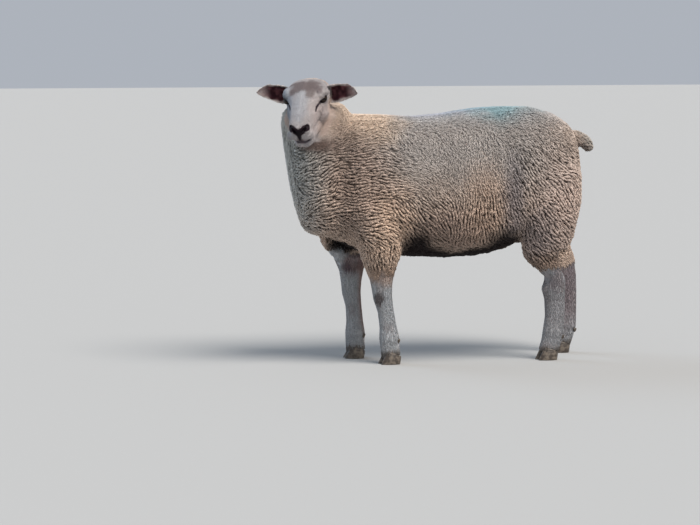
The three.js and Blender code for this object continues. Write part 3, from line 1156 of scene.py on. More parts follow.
@dataclass(frozen=True)
class SkinFinish:
    """Skin with the short flat hair of the face and legs, smoother on bare places."""

    hair_scale: float = 900.0
    roughness: float = 0.82
    bare_roughness: float = 0.6

    def make(self) -> bpy.types.Material:
        """Builds the skin's material.

        Returns:
            The material.
        """
        material, nodes, shader = new_material("ewe skin")
        tint = nodes.add("Attribute", attribute_name=TINT).outputs["Vector"]
        bare = nodes.add("Attribute", attribute_name=BARE).outputs["Fac"]
        place = nodes.add("TexCoord").outputs["Object"]
        drawn = nodes.add("Mapping", {"Vector": place, "Scale": (1.0, 1.0, 0.22)}).outputs[0]
        fine = nodes.add("TexNoise", {"Vector": drawn, "Scale": self.hair_scale, "Detail": 2.0})
        tufts = nodes.add("TexNoise", {"Vector": place, "Scale": 160.0, "Detail": 4.0})
        shade = nodes.range(tufts.outputs["Fac"], 0.3, 0.7, 0.86, 1.1)
        height = nodes.math("MULTIPLY_ADD", tufts.outputs["Fac"], 1.6, fine.outputs["Fac"])
        bump = nodes.add("Bump", {"Strength": 0.35, "Distance": 0.0012, "Height": height})
        rough = nodes.range(bare, 0.2, 0.9, self.roughness, self.bare_roughness)
        look = {
            "Base Color": nodes.mix(1.0, tint, nodes.grey(shade), "MULTIPLY"),
            "Roughness": rough,
            "Normal": bump.outputs[0],
            "Specular IOR Level": 0.13,
            "Subsurface Weight": 0.06,
            "Subsurface Radius": (0.004, 0.0015, 0.001),
        }
        nodes.dress(shader, look)
        return material


@dataclass(frozen=True)
class StrandFinish:
    """Locks or tufts with fine fibres along them."""

    name: str
    spread: float
    relief: float
    crimp: float
    fibres: float
    roughness: float = 0.9

    def make(self) -> bpy.types.Material:
        """Builds the material, which reads each strand's own coordinates.

        Returns:
            The material.
        """
        material, nodes, shader = new_material(self.name)
        tint = nodes.add("Attribute", attribute_name=TINT).outputs["Vector"]
        strand = nodes.add("Attribute", attribute_name=STRAND).outputs["Vector"]
        parts = nodes.add("SeparateXYZ", {0: strand}).outputs
        shade = nodes.math("MULTIPLY_ADD", parts[2], self.spread, 1 - self.spread / 2)
        tinted = nodes.mix(1.0, tint, nodes.grey(shade), "MULTIPLY")
        stretched = nodes.add("VectorMath", {0: strand, 1: (2.2, 1.0, 40.0)}, operation="MULTIPLY")
        group = nodes.add("Group", node_tree=fibre_group())
        pattern = {"Vector": stretched.outputs[0], "Scale": self.fibres, "Crimp": self.crimp}
        nodes.dress(group, pattern)
        height = group.outputs[0]
        # Painted shade: the colour is darker in the grooves between fibres, where their relief is
        # low, and lighter on their tops.
        streaks = nodes.range(height, 0.35, 1.0, 0.78, 1.12)
        relief = {"Strength": self.relief, "Distance": 0.003, "Height": height}
        look = {
            "Base Color": nodes.mix(1.0, tinted, nodes.grey(streaks), "MULTIPLY"),
            "Normal": nodes.add("Bump", relief).outputs[0],
            "Roughness": self.roughness,
            "Specular IOR Level": 0.12,
            "Sheen Weight": 0.06,
            "Sheen Roughness": 0.6,
        }
        nodes.dress(shader, look)
        return material


@dataclass(frozen=True)
class HornFinish:
    """Dark horn with growth rings and dry scuffed patches."""

    colour: Colour = (0.055, 0.042, 0.033)
    worn: Colour = (0.20, 0.165, 0.13)

    def make(self) -> bpy.types.Material:
        """Builds the hoof's material.

        Returns:
            The material.
        """
        material, nodes, shader = new_material("hoof horn")
        place = nodes.add("TexCoord").outputs["Object"]
        squeezed = nodes.add("Mapping", {"Vector": place, "Scale": (0.25, 0.25, 1.0)})
        growth = {"Vector": squeezed.outputs[0], "Scale": 70.0, "Distortion": 2.5}
        rings = nodes.add("TexWave", growth, bands_direction="Z")
        scuffs = nodes.add("TexNoise", {"Vector": place, "Scale": 90.0, "Detail": 6.0})
        weight = nodes.range(scuffs.outputs["Fac"], 0.42, 0.68, 0.0, 0.8)
        height = nodes.math("MULTIPLY_ADD", rings.outputs["Fac"], 0.6, scuffs.outputs["Fac"])
        bump = nodes.add("Bump", {"Strength": 0.5, "Distance": 0.001, "Height": height})
        look = {
            "Base Color": nodes.mix(weight, self.colour, self.worn),
            "Roughness": nodes.range(weight, 0.0, 0.8, 0.42, 0.8),
            "Normal": bump.outputs[0],
        }
        nodes.dress(shader, look)
        return material


@dataclass(frozen=True)
class EyeFinish:
    """A wet amber eye with a level slit pupil and a dark rim."""

    iris: Colour = (0.034, 0.021, 0.014)
    iris_edge: Colour = (0.006, 0.004, 0.004)
    pupil: Colour = (0.002, 0.002, 0.003)
    rim: Colour = (0.012, 0.008, 0.009)
    slit_halves: Span = (6.2, 2.3)
    slit_squareness: float = 2.6

    def make(self) -> bpy.types.Material:
        """Builds the eye's material, which reads the eye's own coordinates in millimetres.

        Returns:
            The material.
        """
        material, nodes, shader = new_material("wet eye")
        own = nodes.add("Attribute", attribute_name=STRAND).outputs["Vector"]
        parts = nodes.add("SeparateXYZ", {0: own}).outputs
        flat = nodes.add("CombineXYZ", {0: parts[0], 1: parts[1]}).outputs[0]
        radius = nodes.add("VectorMath", {0: flat}, operation="LENGTH").outputs["Value"]
        fibres = nodes.add("TexNoise", {"Vector": flat, "Scale": 1.6, "Detail": 5.0})
        mottled = nodes.range(fibres.outputs["Fac"], 0.3, 0.7, 0.0, 0.7)
        iris = nodes.mix(mottled, self.iris, self.iris_edge)
        iris = nodes.mix(nodes.range(radius, 7.0, 9.5, 0.0, 1.0), iris, self.iris_edge)
        iris = nodes.mix(nodes.range(radius, 9.6, 10.6, 0.0, 1.0), iris, self.rim)
        powers = []
        for part, half in zip(parts, self.slit_halves):
            share = nodes.math("ABSOLUTE", nodes.math("DIVIDE", part, half))
            powers.append(nodes.math("POWER", share, self.slit_squareness))
        slit = nodes.range(nodes.math("ADD", *powers), 0.85, 1.15, 1.0, 0.0)
        look = {
            "Base Color": nodes.mix(slit, iris, self.pupil),
            "Roughness": 0.07,
            "IOR": 1.38,
            "Specular IOR Level": 0.28,
        }
        nodes.dress(shader, look)
        return material


# ---------------------------------------------------------------- skin


@dataclass(frozen=True)
class Push:
    """A soft push backwards of the skin near a place, or forwards if it is below 0."""

    centre: Point
    reach: Point
    shift: float

    def moved(self, points: Array) -> Array:
        """Points after the push."""
        away = np.linalg.norm((BODY.local(points) - self.centre) / self.reach, axis=1)
        return points + (1 - smoothstep(away, 0.3, 1.0))[:, None] * (0, self.shift, 0)


@dataclass
class Skin:
    """One skin over the whole animal, under the coat by its depth.

    Each round of sinking smooths the skin a few times. The fold is a row of balls, given by
    their centres and radii in metres, that closes the far foreleg's wool to the brisket.
    """

    voxel: float = 2.1 * MM
    rounds: int = 8
    smoothing: int = 6
    rebound: float = 1.03
    skin_smoothing: int = 8
    fleece_smoothing: int = 24
    ear_smoothing: int = 16
    softness: float = 0.55
    most_triangles: int = 185_000
    ear_swell: float = 1.5 * MM
    hock: tuple[Push, ...] = (
        Push((0.10, -0.205, 0.262), (0.09, 0.045, 0.045), 24 * MM),
        Push((0.10, -0.235, 0.240), (0.09, 0.080, 0.050), 28 * MM),
        Push((0.10, -0.375, 0.285), (0.09, 0.080, 0.060), -20 * MM),
    )
    coronet_drop: float = 2 * MM
    coronet_fade: Span = (0.036, 0.062)
    outline: BVHTree | None = None
    fold: tuple[tuple[Point, float], ...] = (
        ((-0.070, 0.318, 0.385), 0.036),
        ((-0.070, 0.306, 0.352), 0.032),
        ((-0.071, 0.296, 0.335), 0.030),
        ((-0.072, 0.284, 0.318), 0.028),
        ((-0.073, 0.271, 0.300), 0.026),
        ((-0.074, 0.259, 0.282), 0.023),
        ((-0.075, 0.248, 0.264), 0.020),
    )
    flesh: tuple[str, ...] = (
        "trunk",
        "neck",
        "tail",
        "head",
        "ear_left",
        "ear_right",
        *(
            f"leg_{pair}_{side}_{length}"
            for pair in ("front", "hind")
            for side in ("left", "right")
            for length in ("upper", "lower")
        ),
    )

    def fuse(self) -> bpy.types.Object:
        """Copies the flesh, the brisket's fold and the eyeballs, fused into one closed surface.

        Returns:
            The surface as an object.
        """
        bm = bmesh.new()
        for name in (*self.flesh, *(eye.name for eye in EYES)):
            known = len(bm.verts)
            bm.from_mesh(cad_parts[name].data)
            bm.verts.ensure_lookup_table()
            fresh = bm.verts[known:]
            bmesh.ops.remove_doubles(bm, verts=fresh, dist=0.01 * MM)
            if name.startswith("ear"):
                bm.verts.ensure_lookup_table()
                bm.normal_update()
                for vertex in bm.verts[known:]:
                    vertex.co += vertex.normal * self.ear_swell
        for centre, radius in self.fold:
            ball = bmesh.ops.create_icosphere(bm, subdivisions=3, radius=radius)["verts"]
            bmesh.ops.translate(bm, verts=ball, vec=Vector(BODY.world(*centre)))
        piece = object_from(bm, "ewe_skin")
        remesh = piece.modifiers.new("fuse", "REMESH")
        remesh.mode = "VOXEL"
        remesh.voxel_size = self.voxel
        piece.data = with_modifiers(piece)
        piece.modifiers.clear()
        return piece

    @staticmethod
    def shed(mesh: bpy.types.Mesh) -> None:
        """Drops the crumbs that hang apart from the skin.

        Args:
            mesh: the fused surface.
        """
        starts, ends = read_edges(mesh).T
        label, known = np.arange(len(mesh.vertices)), None
        while known is None or (label != known).any():
            known = label.copy()
            least = np.minimum(label[starts], label[ends])
            np.minimum.at(label, starts, least)
            np.minimum.at(label, ends, least)
            label = label[label]
        crumbs = np.flatnonzero(label != np.bincount(label).argmax())
        with opened(mesh) as bm:
            bmesh.ops.delete(bm, geom=[bm.verts[i] for i in crumbs], context="VERTS")

    @staticmethod
    def relax(
        points: Array, edges: Array, weight: Array, times: int, rebound: float = 0.0
    ) -> Array:
        """Smooths points towards the middle of their neighbours.

        Args:
            points: vertices, one row each.
            edges: pairs of vertex numbers.
            weight: how far each vertex goes, from 0 to 1.
            times: how often.
            rebound: how far every second turn goes back, which keeps the form's size.

        Returns:
            The moved points.
        """
        count = len(points)
        ends = np.concatenate((edges[:, 0], edges[:, 1]))
        starts = np.concatenate((edges[:, 1], edges[:, 0]))
        degree = np.maximum(np.bincount(ends, minlength=count), 1)
        for turn in range(times):
            around = np.stack(
                [np.bincount(ends, points[starts, axis], count) for axis in range(3)], axis=1
            )
            swing = -rebound if rebound and turn % 2 else 1.0
            points = points + (around / degree[:, None] - points) * (swing * weight)[:, None]
        return points

    def tuck(self, points: Array) -> Array:
        """Points with the near hock drawn in before and behind, and the coronets let down.

        Args:
            points: places, one row each.

        Returns:
            The moved points.
        """
        for push in self.hock:
            points = push.moved(points)
        points[:, 2] -= self.coronet_drop * (1 - smoothstep(points[:, 2], *self.coronet_fade))
        return points

    def sink(self, mesh: bpy.types.Mesh) -> None:
        """Smooths the surface and moves it in by the depth of the coat.

        Args:
            mesh: the fused surface.
        """
        edges, points = read_edges(mesh), read_points(mesh)
        region = PELT.regions(points)
        depth = PELT.depth(points, region)
        soft = self.softness * region.fleece
        passes = (
            (0.35 + 0.2 * region.ear, self.skin_smoothing),
            (0.6 * region.fleece, self.fleece_smoothing),
            (self.softness * region.ear, self.ear_smoothing),
        )
        for weight, times in passes:
            points = self.relax(points, edges, weight, times, self.rebound)
        points = self.tuck(points)
        write_points(mesh, points)
        points = points - read_normals(mesh) * (region.ear * self.ear_swell)[:, None]
        write_points(mesh, points)
        self.outline = tree_of(mesh)
        start, most = points, (1.5 + 0.9 * region.fleece) * depth + 1 * MM
        for _ in range(self.rounds):
            write_points(mesh, points)
            points = points - read_normals(mesh) * (depth / self.rounds)[:, None]
            points = self.relax(points, edges, soft, self.smoothing)
            moved = points - start
            far = np.linalg.norm(moved, axis=1)
            points = start + moved * np.minimum(1, most / (far + 1e-9))[:, None]
        write_points(mesh, points)

    @staticmethod
    def refine(mesh: bpy.types.Mesh) -> None:
        """Divides the faces round the eyes, nose and mouth.

        Args:
            mesh: the sunk skin.
        """
        muzzle_low, muzzle_high = (-0.06, 0.08, -0.12), (0.06, 0.2, 0.12)
        points = read_points(mesh)
        local = HEAD.local(points)
        near = within(local, muzzle_low, muzzle_high)
        for eye in EYES:
            centre, radius = eye.ball()
            near |= np.linalg.norm(points - centre, axis=1) < radius * 2.0
        with opened(mesh) as bm:
            chosen = {bm.verts[i] for i in np.flatnonzero(near)}
            edges = [e for e in bm.edges if e.verts[0] in chosen and e.verts[1] in chosen]
            bmesh.ops.subdivide_edges(bm, edges=edges, cuts=1, use_grid_fill=True)
            bmesh.ops.triangulate(bm, faces=[f for f in bm.faces if len(f.verts) > 4])

    @staticmethod
    def sculpt(mesh: bpy.types.Mesh) -> None:
        """Presses in the creases of the face and shapes the lids.

        Args:
            mesh: the refined skin.
        """
        head_reach = 0.22
        points = read_points(mesh)
        local = HEAD.local(points)
        here = np.flatnonzero(np.linalg.norm(local, axis=1) < head_reach)
        shift = np.zeros(len(here))
        for stroke in FACE.strokes:
            shift += stroke.mask(local[here]) * stroke.depth * MM
        points[here] -= read_normals(mesh)[here] * shift[:, None]
        for eye in EYES:
            points = eye.lid(points)
        write_points(mesh, points)

    def lighten(self, piece: bpy.types.Object) -> None:
        """Thins the mesh where the fleece or the leg hair hides it.

        Args:
            piece: the sculpted skin.
        """
        region = PELT.regions(read_points(piece.data))
        group = piece.vertex_groups.new(name="under_wool")
        for chosen, weight in ((region.fleece > 0.9, 1.0), (region.shank > 0.5, 0.6)):
            for index in np.flatnonzero(chosen):
                group.add([int(index)], weight, "REPLACE")
        piece.data.calc_loop_triangles()
        thin = piece.modifiers.new("thin", "DECIMATE")
        thin.ratio = min(1.0, self.most_triangles / len(piece.data.loop_triangles))
        thin.vertex_group = group.name
        thin.vertex_group_factor = 1.0
        piece.data = with_modifiers(piece)
        piece.modifiers.clear()
        piece.vertex_groups.clear()

    @staticmethod
    def unwrap(piece: bpy.types.Object) -> None:
        """Lays the skin out flat, for the map that the coat shares.

        Args:
            piece: the thinned skin.
        """
        piece.data.uv_layers.new(name=BAKE_MAP)
        bpy.ops.object.select_all(action="DESELECT")
        piece.select_set(True)
        bpy.context.view_layer.objects.active = piece
        bpy.ops.object.mode_set(mode="EDIT")
        bpy.ops.mesh.select_all(action="SELECT")
        bpy.ops.uv.smart_project(angle_limit=math.radians(70), island_margin=0.003)
        bpy.ops.object.mode_set(mode="OBJECT")

    @staticmethod
    def colour(mesh: bpy.types.Mesh) -> None:
        """Stores the markings, with their painted shade and light, and the bare places.

        Args:
            mesh: the finished shape.
        """
        points, normals = read_points(mesh), read_normals(mesh)
        region = PELT.regions(points)
        tint = PELT.tint(points, normals, region)
        coarse = PELT.coarseness(points)
        # Painted shade: the skin under the wool is darkened, most under ridged locks, for the
        # shade down between the strands.
        tint *= (1 - (0.08 + 0.4 * coarse) * region.fleece)[:, None]
        local = HEAD.local(points)
        bare = PELT.ear_hollow(points, normals) * 0.3
        for stroke in FACE.strokes:
            mask = stroke.mask(local) * region.face
            if stroke.colour:
                tint = blend(tint, stroke.colour, np.clip(mask * stroke.strength, 0, 1))
            bare = np.maximum(bare, mask * stroke.bare)
        for eye in EYES:
            liner = eye.liner(points)
            tint = blend(tint, BLACK_SKIN, liner * 0.97)
            bare = np.maximum(bare, liner)
        write_field(mesh, TINT, tint)
        write_field(mesh, BARE, bare)

    def build(self, material: bpy.types.Material) -> bpy.types.Object:
        """Makes the skin.

        Args:
            material: its finish.

        Returns:
            The finished piece, which stands for the CAD's flesh.
        """
        piece = self.fuse()
        self.shed(piece.data)
        log.info("skin fused: %d faces", len(piece.data.polygons))
        self.sink(piece.data)
        self.refine(piece.data)
        log.info("skin sunk under the coat")
        FACE.lay_on(tree_of(piece.data))
        self.sculpt(piece.data)
        self.lighten(piece)
        log.info("skin thinned")
        self.unwrap(piece)
        log.info("skin unwrapped")
        self.colour(piece.data)
        piece.data.shade_smooth()
        finish_piece(piece, material)
        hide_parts(*self.flesh)
        log.info("skin: %d faces", len(piece.data.polygons))
        return piece


# ---------------------------------------------------------------- coat


@dataclass(frozen=True)
class Roots:
    """Where strands grow: places, skin normals, and the unwrap there."""

    points: Array
    normals: Array
    flat: Array

    def pick(self, chosen: Array) -> "Roots":
        """Only the chosen roots."""
        return Roots(self.points[chosen], self.normals[chosen], self.flat[chosen])


class Ground:
    """The skin as strands see it: where it is, which way it faces, how much room is over it."""

    def __init__(self, skin: bpy.types.Object, outline: BVHTree) -> None:
        """Reads the skin.

        Args:
            skin: the finished skin.
            outline: the surface that the tips of the coat reach.
        """
        mesh = skin.data
        self.outline = outline
        self.tree = tree_of(mesh)
        normals = read_normals(mesh)
        faces = [list(face.vertices) for face in mesh.polygons]
        self.facing = np.array([normals[corners].mean(axis=0) for corners in faces])

    def drop(self, points: Array) -> tuple[Array, Array]:
        """Puts points on the skin.

        Args:
            points: places near the skin, one row each.

        Returns:
            The nearest places on the skin and the skin's normals there.
        """
        hits = [self.tree.find_nearest(point) for point in points.tolist()]
        spots = np.array([hit[0] for hit in hits])
        return spots, unit(self.facing[[hit[2] for hit in hits]])

    def room(self, points: Array) -> Array:
        """How far the coat's outline is from points."""
        return np.array([self.outline.find_nearest(point)[3] for point in points.tolist()])


@dataclass
class Scatter:
    """Spreads roots evenly over the skin."""

    CELL_PRIMES = (73856093, 19349663, 83492791)

    skin: bpy.types.Object
    seed: int = 11
    tries: int = 6

    def __post_init__(self) -> None:
        """Reads the skin's triangles once."""
        mesh = self.skin.data
        mesh.calc_loop_triangles()
        count = len(mesh.loop_triangles)
        loops = np.empty(count * 3, dtype=np.int32)
        mesh.loop_triangles.foreach_get("loops", loops)
        corners = np.empty(count * 3, dtype=np.int32)
        mesh.loop_triangles.foreach_get("vertices", corners)
        flat = np.empty(len(mesh.loops) * 2, dtype=np.float32)
        mesh.uv_layers[BAKE_MAP].data.foreach_get("uv", flat)
        self.points = read_points(mesh)[corners].reshape(-1, 3, 3)
        self.normals = read_normals(mesh)[corners].reshape(-1, 3, 3)
        self.flat = flat.reshape(-1, 2)[loops].reshape(-1, 3, 2)
        sides = np.cross(
            self.points[:, 1] - self.points[:, 0], self.points[:, 2] - self.points[:, 0]
        )
        self.area = np.linalg.norm(sides, axis=1) / 2
        self.rng = np.random.default_rng(self.seed)

    def spread(self, spacing: float, wanted: Callable[[Array], Array]) -> Roots:
        """Roots about a spacing apart.

        Args:
            spacing: the size of the grid that holds one root a cell.
            wanted: gives the triangles' middles a weight from 0 to 1.

        Returns:
            The roots, in no order.
        """
        weight = self.area * wanted(self.points.mean(axis=1))
        count = int(weight.sum() / spacing**2 * self.tries)
        chosen = self.rng.choice(len(weight), count, p=weight / weight.sum())
        first, second = self.rng.random(count), self.rng.random(count)
        folded = first + second > 1
        first, second = np.where(folded, 1 - first, first), np.where(folded, 1 - second, second)
        shares = np.stack((1 - first - second, first, second), axis=1)[:, :, None]
        points = (self.points[chosen] * shares).sum(axis=1)
        cells = np.floor(points / spacing).astype(np.int64)
        key = np.bitwise_xor.reduce(cells * self.CELL_PRIMES, axis=1)
        _, kept = np.unique(key, return_index=True)
        normals = unit((self.normals[chosen] * shares).sum(axis=1))
        flat = (self.flat[chosen] * shares).sum(axis=1)
        return Roots(points[kept], normals[kept], flat[kept])


@dataclass(frozen=True)
class StrandShape:
    """The form that a kind of strand repeats: rings round a bent and waved middle line."""

    sides: int
    profile: tuple[float, ...]
    patch: float = 0.003

    @property
    def steps(self) -> int:
        """How many stretches a strand has."""
        return len(self.profile) - 1

    def faces(self, count: int) -> tuple[Array, Array]:
        """Corner numbers of all faces of count strands, and each face's corner count.

        Args:
            count: how many strands.

        Returns:
            The corner numbers in a row, and the sizes.
        """
        around, rings = self.sides, self.steps + 1
        near, side = np.divmod(np.arange(self.steps * around), around)
        near, following = near * around, (side + 1) % around
        far = near + around
        quads = np.stack((near + side, near + following, far + following, far + side), axis=1)
        root = np.arange(around)[::-1]
        tip = np.arange(around) + self.steps * around
        one = np.concatenate((quads.ravel(), root, tip))
        sizes = np.array([4] * len(quads) + [around, around])
        corners = (one + np.arange(count)[:, None] * (rings * around)).ravel()
        return corners, np.tile(sizes, count)

    def mesh(
        self, name: str, middle: Array, wide: Array, tall: Array, flat: Array, tint: Array,
        chance: Array,
    ) -> bpy.types.Mesh:
        """Builds the strands as one mesh.

        Args:
            name: the mesh's name.
            middle: points of each middle line, count by rings by 3.
            wide: half-width vectors at each ring.
            tall: half-thickness vectors at each ring.
            flat: the unwrap's place of each root.
            tint: colour of each ring, count by rings by 3.
            chance: a number from 0 to 1 for each strand.

        Returns:
            The mesh, with its strand coordinates, tint and map.
        """
        count, rings = middle.shape[:2]
        angle = 2 * np.pi * np.arange(self.sides) / self.sides + np.pi / 2
        taper = np.asarray(self.profile)[None, :, None, None]
        ring = (
            wide[:, :, None] * np.cos(angle)[None, None, :, None]
            + tall[:, :, None] * np.sin(angle)[None, None, :, None]
        )
        points = (middle[:, :, None] + ring * taper).reshape(-1, 3)
        corners, sizes = self.faces(count)
        mesh = bpy.data.meshes.new(name)
        mesh.vertices.add(len(points))
        mesh.vertices.foreach_set("co", points.ravel())
        mesh.loops.add(len(corners))
        mesh.loops.foreach_set("vertex_index", corners.astype(np.int32))
        mesh.polygons.add(len(sizes))
        starts = np.concatenate(([0], np.cumsum(sizes)[:-1])).astype(np.int32)
        mesh.polygons.foreach_set("loop_start", starts)
        mesh.update(calc_edges=True)
        form = (count, rings, self.sides)
        along = np.broadcast_to(np.linspace(0, 1, rings)[None, :, None], form)
        across = np.broadcast_to(angle / (2 * np.pi), form)
        luck = np.broadcast_to(chance[:, None, None], form)
        write_field(mesh, STRAND, np.stack((across, along, luck), axis=-1).reshape(-1, 3))
        write_field(mesh, TINT, np.repeat(tint.reshape(-1, 3), self.sides, axis=0))
        spot = np.stack((across - 0.5, along - 0.5), axis=-1) * self.patch
        spot = (flat[:, None, None] + spot).reshape(-1, 2)
        layer = mesh.uv_layers.new(name=BAKE_MAP)
        layer.data.foreach_set("uv", spot[corners].astype("f4").ravel())
        mesh.shade_smooth()
        mesh.validate()
        return mesh


@dataclass(frozen=True)
class Cut:
    """The sizes of one kind of strand in metres; pairs go from smooth to ridged places."""

    length: Span
    width: Span
    flatness: Span
    relief: float = 0.0
    ridge: Span = (0.006, 0.009)
    crimp: float = 0.0
    crimp_length: float = 0.009
    rough: float = 0.3
    droop: float = 0.003
    root_shade: Span = (0.96, 0.96)
    tip_shade: float = 1.04
    crease_shade: float = 1.0


class Covering(Enum):
    """The kinds of strands."""

    LOCK = "lock"
    WISP = "wisp"
    FACE = "face"
    SHANK = "shank"
    EAR = "ear"


CUTS = {
    Covering.LOCK: Cut(
        length=(0.015, 0.022),
        width=(0.0055, 0.0076),
        flatness=(0.4, 0.6),
        relief=0.5,
        ridge=(0.0066, 0.0088),
        crimp=0.0013,
        crimp_length=0.0105,
        droop=0.015,
        root_shade=(0.88, 0.74),
        tip_shade=1.08,
        crease_shade=0.66,
    ),
    Covering.WISP: Cut(
        length=(0.013, 0.014),
        width=(0.0028, 0.0025),
        flatness=(0.35, 0.7),
        relief=0.45,
        ridge=(0.0062, 0.0083),
        crimp=0.0006,
        crimp_length=0.0095,
        rough=0.4,
        droop=0.015,
        root_shade=(0.94, 0.76),
        tip_shade=1.06,
        crease_shade=0.66,
    ),
    Covering.FACE: Cut((0.008, 0.010), (0.0014, 0.0017), (0.3, 0.3), rough=0.25),
    Covering.SHANK: Cut((0.010, 0.014), (0.0015, 0.0019), (0.35, 0.35)),
    Covering.EAR: Cut((0.006, 0.008), (0.0013, 0.0016), (0.3, 0.3)),
}


@dataclass
class Coat:
    """Fleece locks and hair tufts over the skin."""

    scatter: Scatter
    ground: Ground
    lock_spacing: float = 7.3 * MM
    wisp_spacing: float = 4.2 * MM
    face_spacing: float = 2.5 * MM
    shank_spacing: float = 3.9 * MM
    ear_spacing: float = 2.4 * MM
    sparse_wisps: float = 0.25
    sunk: float = 0.6 * MM
    most_pull: float = 1.2 * MM
    pulls: int = 2
    pull_step: float = 0.12
    most_stray: float = 2.2 * MM
    lowest_root: float = 20 * MM
    steepest: float = -0.5
    lock: StrandShape = StrandShape(3, (0.6, 0.95, 1.0, 0.85, 0.3))
    wisp: StrandShape = StrandShape(3, (0.7, 1.0, 0.25))
    tuft: StrandShape = StrandShape(3, (0.8, 1.0, 0.15))
    ridges: Ridges = field(default_factory=lambda: Ridges(5, 0.0105))
    seed: int = 23

    def strands(self, roots: Roots, cut: Cut, shape: StrandShape, name: str) -> bpy.types.Mesh:
        """Grows one strand from each root, following the skin.

        Args:
            roots: where they grow.
            cut: their sizes.
            shape: their form.
            name: the mesh's name.

        Returns:
            The strands as one mesh.
        """
        rng = np.random.default_rng(self.seed + len(roots.points))
        count, rings = len(roots.points), shape.steps + 1
        region = PELT.regions(roots.points)
        coarse = PELT.coarseness(roots.points)
        growth = 0.45 + 0.55 * PELT.growth(roots.points) if cut.relief else np.ones(count)

        def graded(pair: Span) -> Array:
            """A size for each root, between a pair for smooth and ridged places."""
            return pair[0] + (pair[1] - pair[0]) * coarse

        lie = PELT.lie(roots.points, roots.normals, region)
        across = np.cross(roots.normals, lie)
        turn = rng.normal(0, cut.rough * (0.7 - 0.4 * coarse), count)[:, None]
        way = unit(lie * np.cos(turn) + across * np.sin(turn))
        aside = np.cross(roots.normals, way)
        length = graded(cut.length) * growth * (1 + cut.rough * rng.uniform(-1, 1, count))
        width = graded(cut.width) * (0.7 + 0.3 * growth)
        width *= 1 + 0.5 * cut.rough * rng.uniform(-1, 1, count)
        t = np.linspace(0, 1, rings)
        reach = length[:, None] * t**1.2
        phase = rng.uniform(0, 2 * np.pi, (count, 1))
        sway = np.sin(reach * (2 * np.pi / cut.crimp_length) + phase) * cut.crimp
        path = roots.points[:, None] + way[:, None] * reach[..., None]
        path = path + aside[:, None] * sway[..., None]
        path = path.reshape(-1, 3)
        spots, normals = self.ground.drop(path)
        fall = np.linalg.norm(spots - path, axis=1, keepdims=True)
        spots = path + (spots - path) * np.minimum(1, cut.droop / (fall + 1e-9))

        crest = np.ones(count * rings)
        if cut.relief:
            sideways = np.repeat(across, rings, axis=0)
            spacing = np.repeat(graded(cut.ridge), rings)
            step = sideways * (self.pull_step * spacing)[:, None]
            keen = np.repeat(coarse, rings) * np.tile(np.sqrt(t), count)
            for _ in range(self.pulls):
                left, right = (
                    self.ridges(spots + side * step, sideways, spacing) for side in (-1, 1)
                )
                pull = np.clip((right - left) * 2 * MM, -self.most_pull, self.most_pull)
                spots = spots + sideways * (pull * keen)[:, None]
            crest = self.ridges(spots, sideways, spacing)
        relief = cut.relief * np.repeat(0.2 + 0.8 * coarse, rings) * (0.5 - 0.5 * crest) ** 1.6
        depth = PELT.depth(roots.points, region)
        room = np.repeat(np.maximum(self.ground.room(roots.points), 0.7 * depth), rings)
        top = np.repeat(1 + 0.12 * rng.uniform(-1, 0.4, count), rings) * (1 - relief)
        lift = np.tile(np.sin(np.clip(t * 1.6, 0, 1) * np.pi / 2) - 0.28 * t**3, count)
        flatness = graded(cut.flatness)[:, None, None]
        thick = np.repeat(width * flatness[:, 0, 0] / 2, rings)
        height = np.maximum(room * top * lift - thick, 0.1 * room * lift)
        height -= self.sunk * (1 - np.tile(t, count))
        middle = (spots + normals * height[:, None]).reshape(count, rings, 3)
        normals = normals.reshape(count, rings, 3)
        heading = unit(np.gradient(middle, axis=1))
        wide = unit(np.cross(normals, heading))
        tall = np.cross(heading, wide)
        tint = PELT.tint(roots.points, roots.normals, region)
        # Painted shade: each ring darkens in the creases between ridges, and from tip to root
        # partly for the shade deep in the fleece and partly for the wool's own darker root; the
        # tips are paler.
        shade = 1 - (1 - cut.crease_shade) * np.clip(relief / max(cut.relief, 0.01), 0, 1)
        root = np.repeat(graded(cut.root_shade), rings)
        shade *= root + (cut.tip_shade - root) * smoothstep(np.tile(t, count), 0.1, 0.75)
        colour = np.repeat(tint, rings, axis=0) * shade[:, None]
        half = (width / 2)[:, None, None]
        return shape.mesh(
            name, middle, wide * half, tall * half * flatness, roots.flat,
            colour.reshape(count, rings, 3), rng.random(count),
        )

    def lay(
        self, roots: Roots, kind: Covering, shape: StrandShape, material: bpy.types.Material,
        bands: Sequence[str],
    ) -> None:
        """Grows the strands of one kind as pieces in bands from front to back.

        Args:
            roots: where they grow.
            kind: which cut they have.
            shape: their form.
            material: their finish.
            bands: the names of the pieces, from front to back.
        """
        order = np.argsort(roots.points[:, 1])
        for band, chosen in zip(bands, np.array_split(order, len(bands))):
            name = f"{kind.value}_{band}"
            mesh = self.strands(roots.pick(chosen), CUTS[kind], shape, name)
            finish_piece(new_object(name, mesh), material)
            mesh.calc_loop_triangles()
            log.info("%s: %d strands, %d triangles", name, len(chosen), len(mesh.loop_triangles))

    @staticmethod
    def in_wool(points: Array) -> Array:
        """The fleece and its edge."""
        return PELT.regions(points).fleece > 0.4

    @staticmethod
    def near_face(points: Array) -> Array:
        """The face and the thin wool next to it.

        Args:
            points: places, one row each.

        Returns:
            True for each point there.
        """
        region = PELT.regions(points)
        thin = (PELT.growth(points) < 0.5) & (points[:, 2] > 0.5) & (region.fleece > 0.5)
        behind = np.linalg.norm(HEAD.local(points), axis=1) < 0.17
        return (region.face > 0.5) | (thin & behind)

    @staticmethod
    def near_shank(points: Array) -> Array:
        """The haired part of the legs and the thin wool next to it.

        Args:
            points: places, one row each.

        Returns:
            True for each point there.
        """
        region = PELT.regions(points)
        thin = (PELT.growth(points) < 0.45) & (points[:, 2] < 0.4) & (region.fleece > 0.5)
        return (region.shank > 0.5) | thin

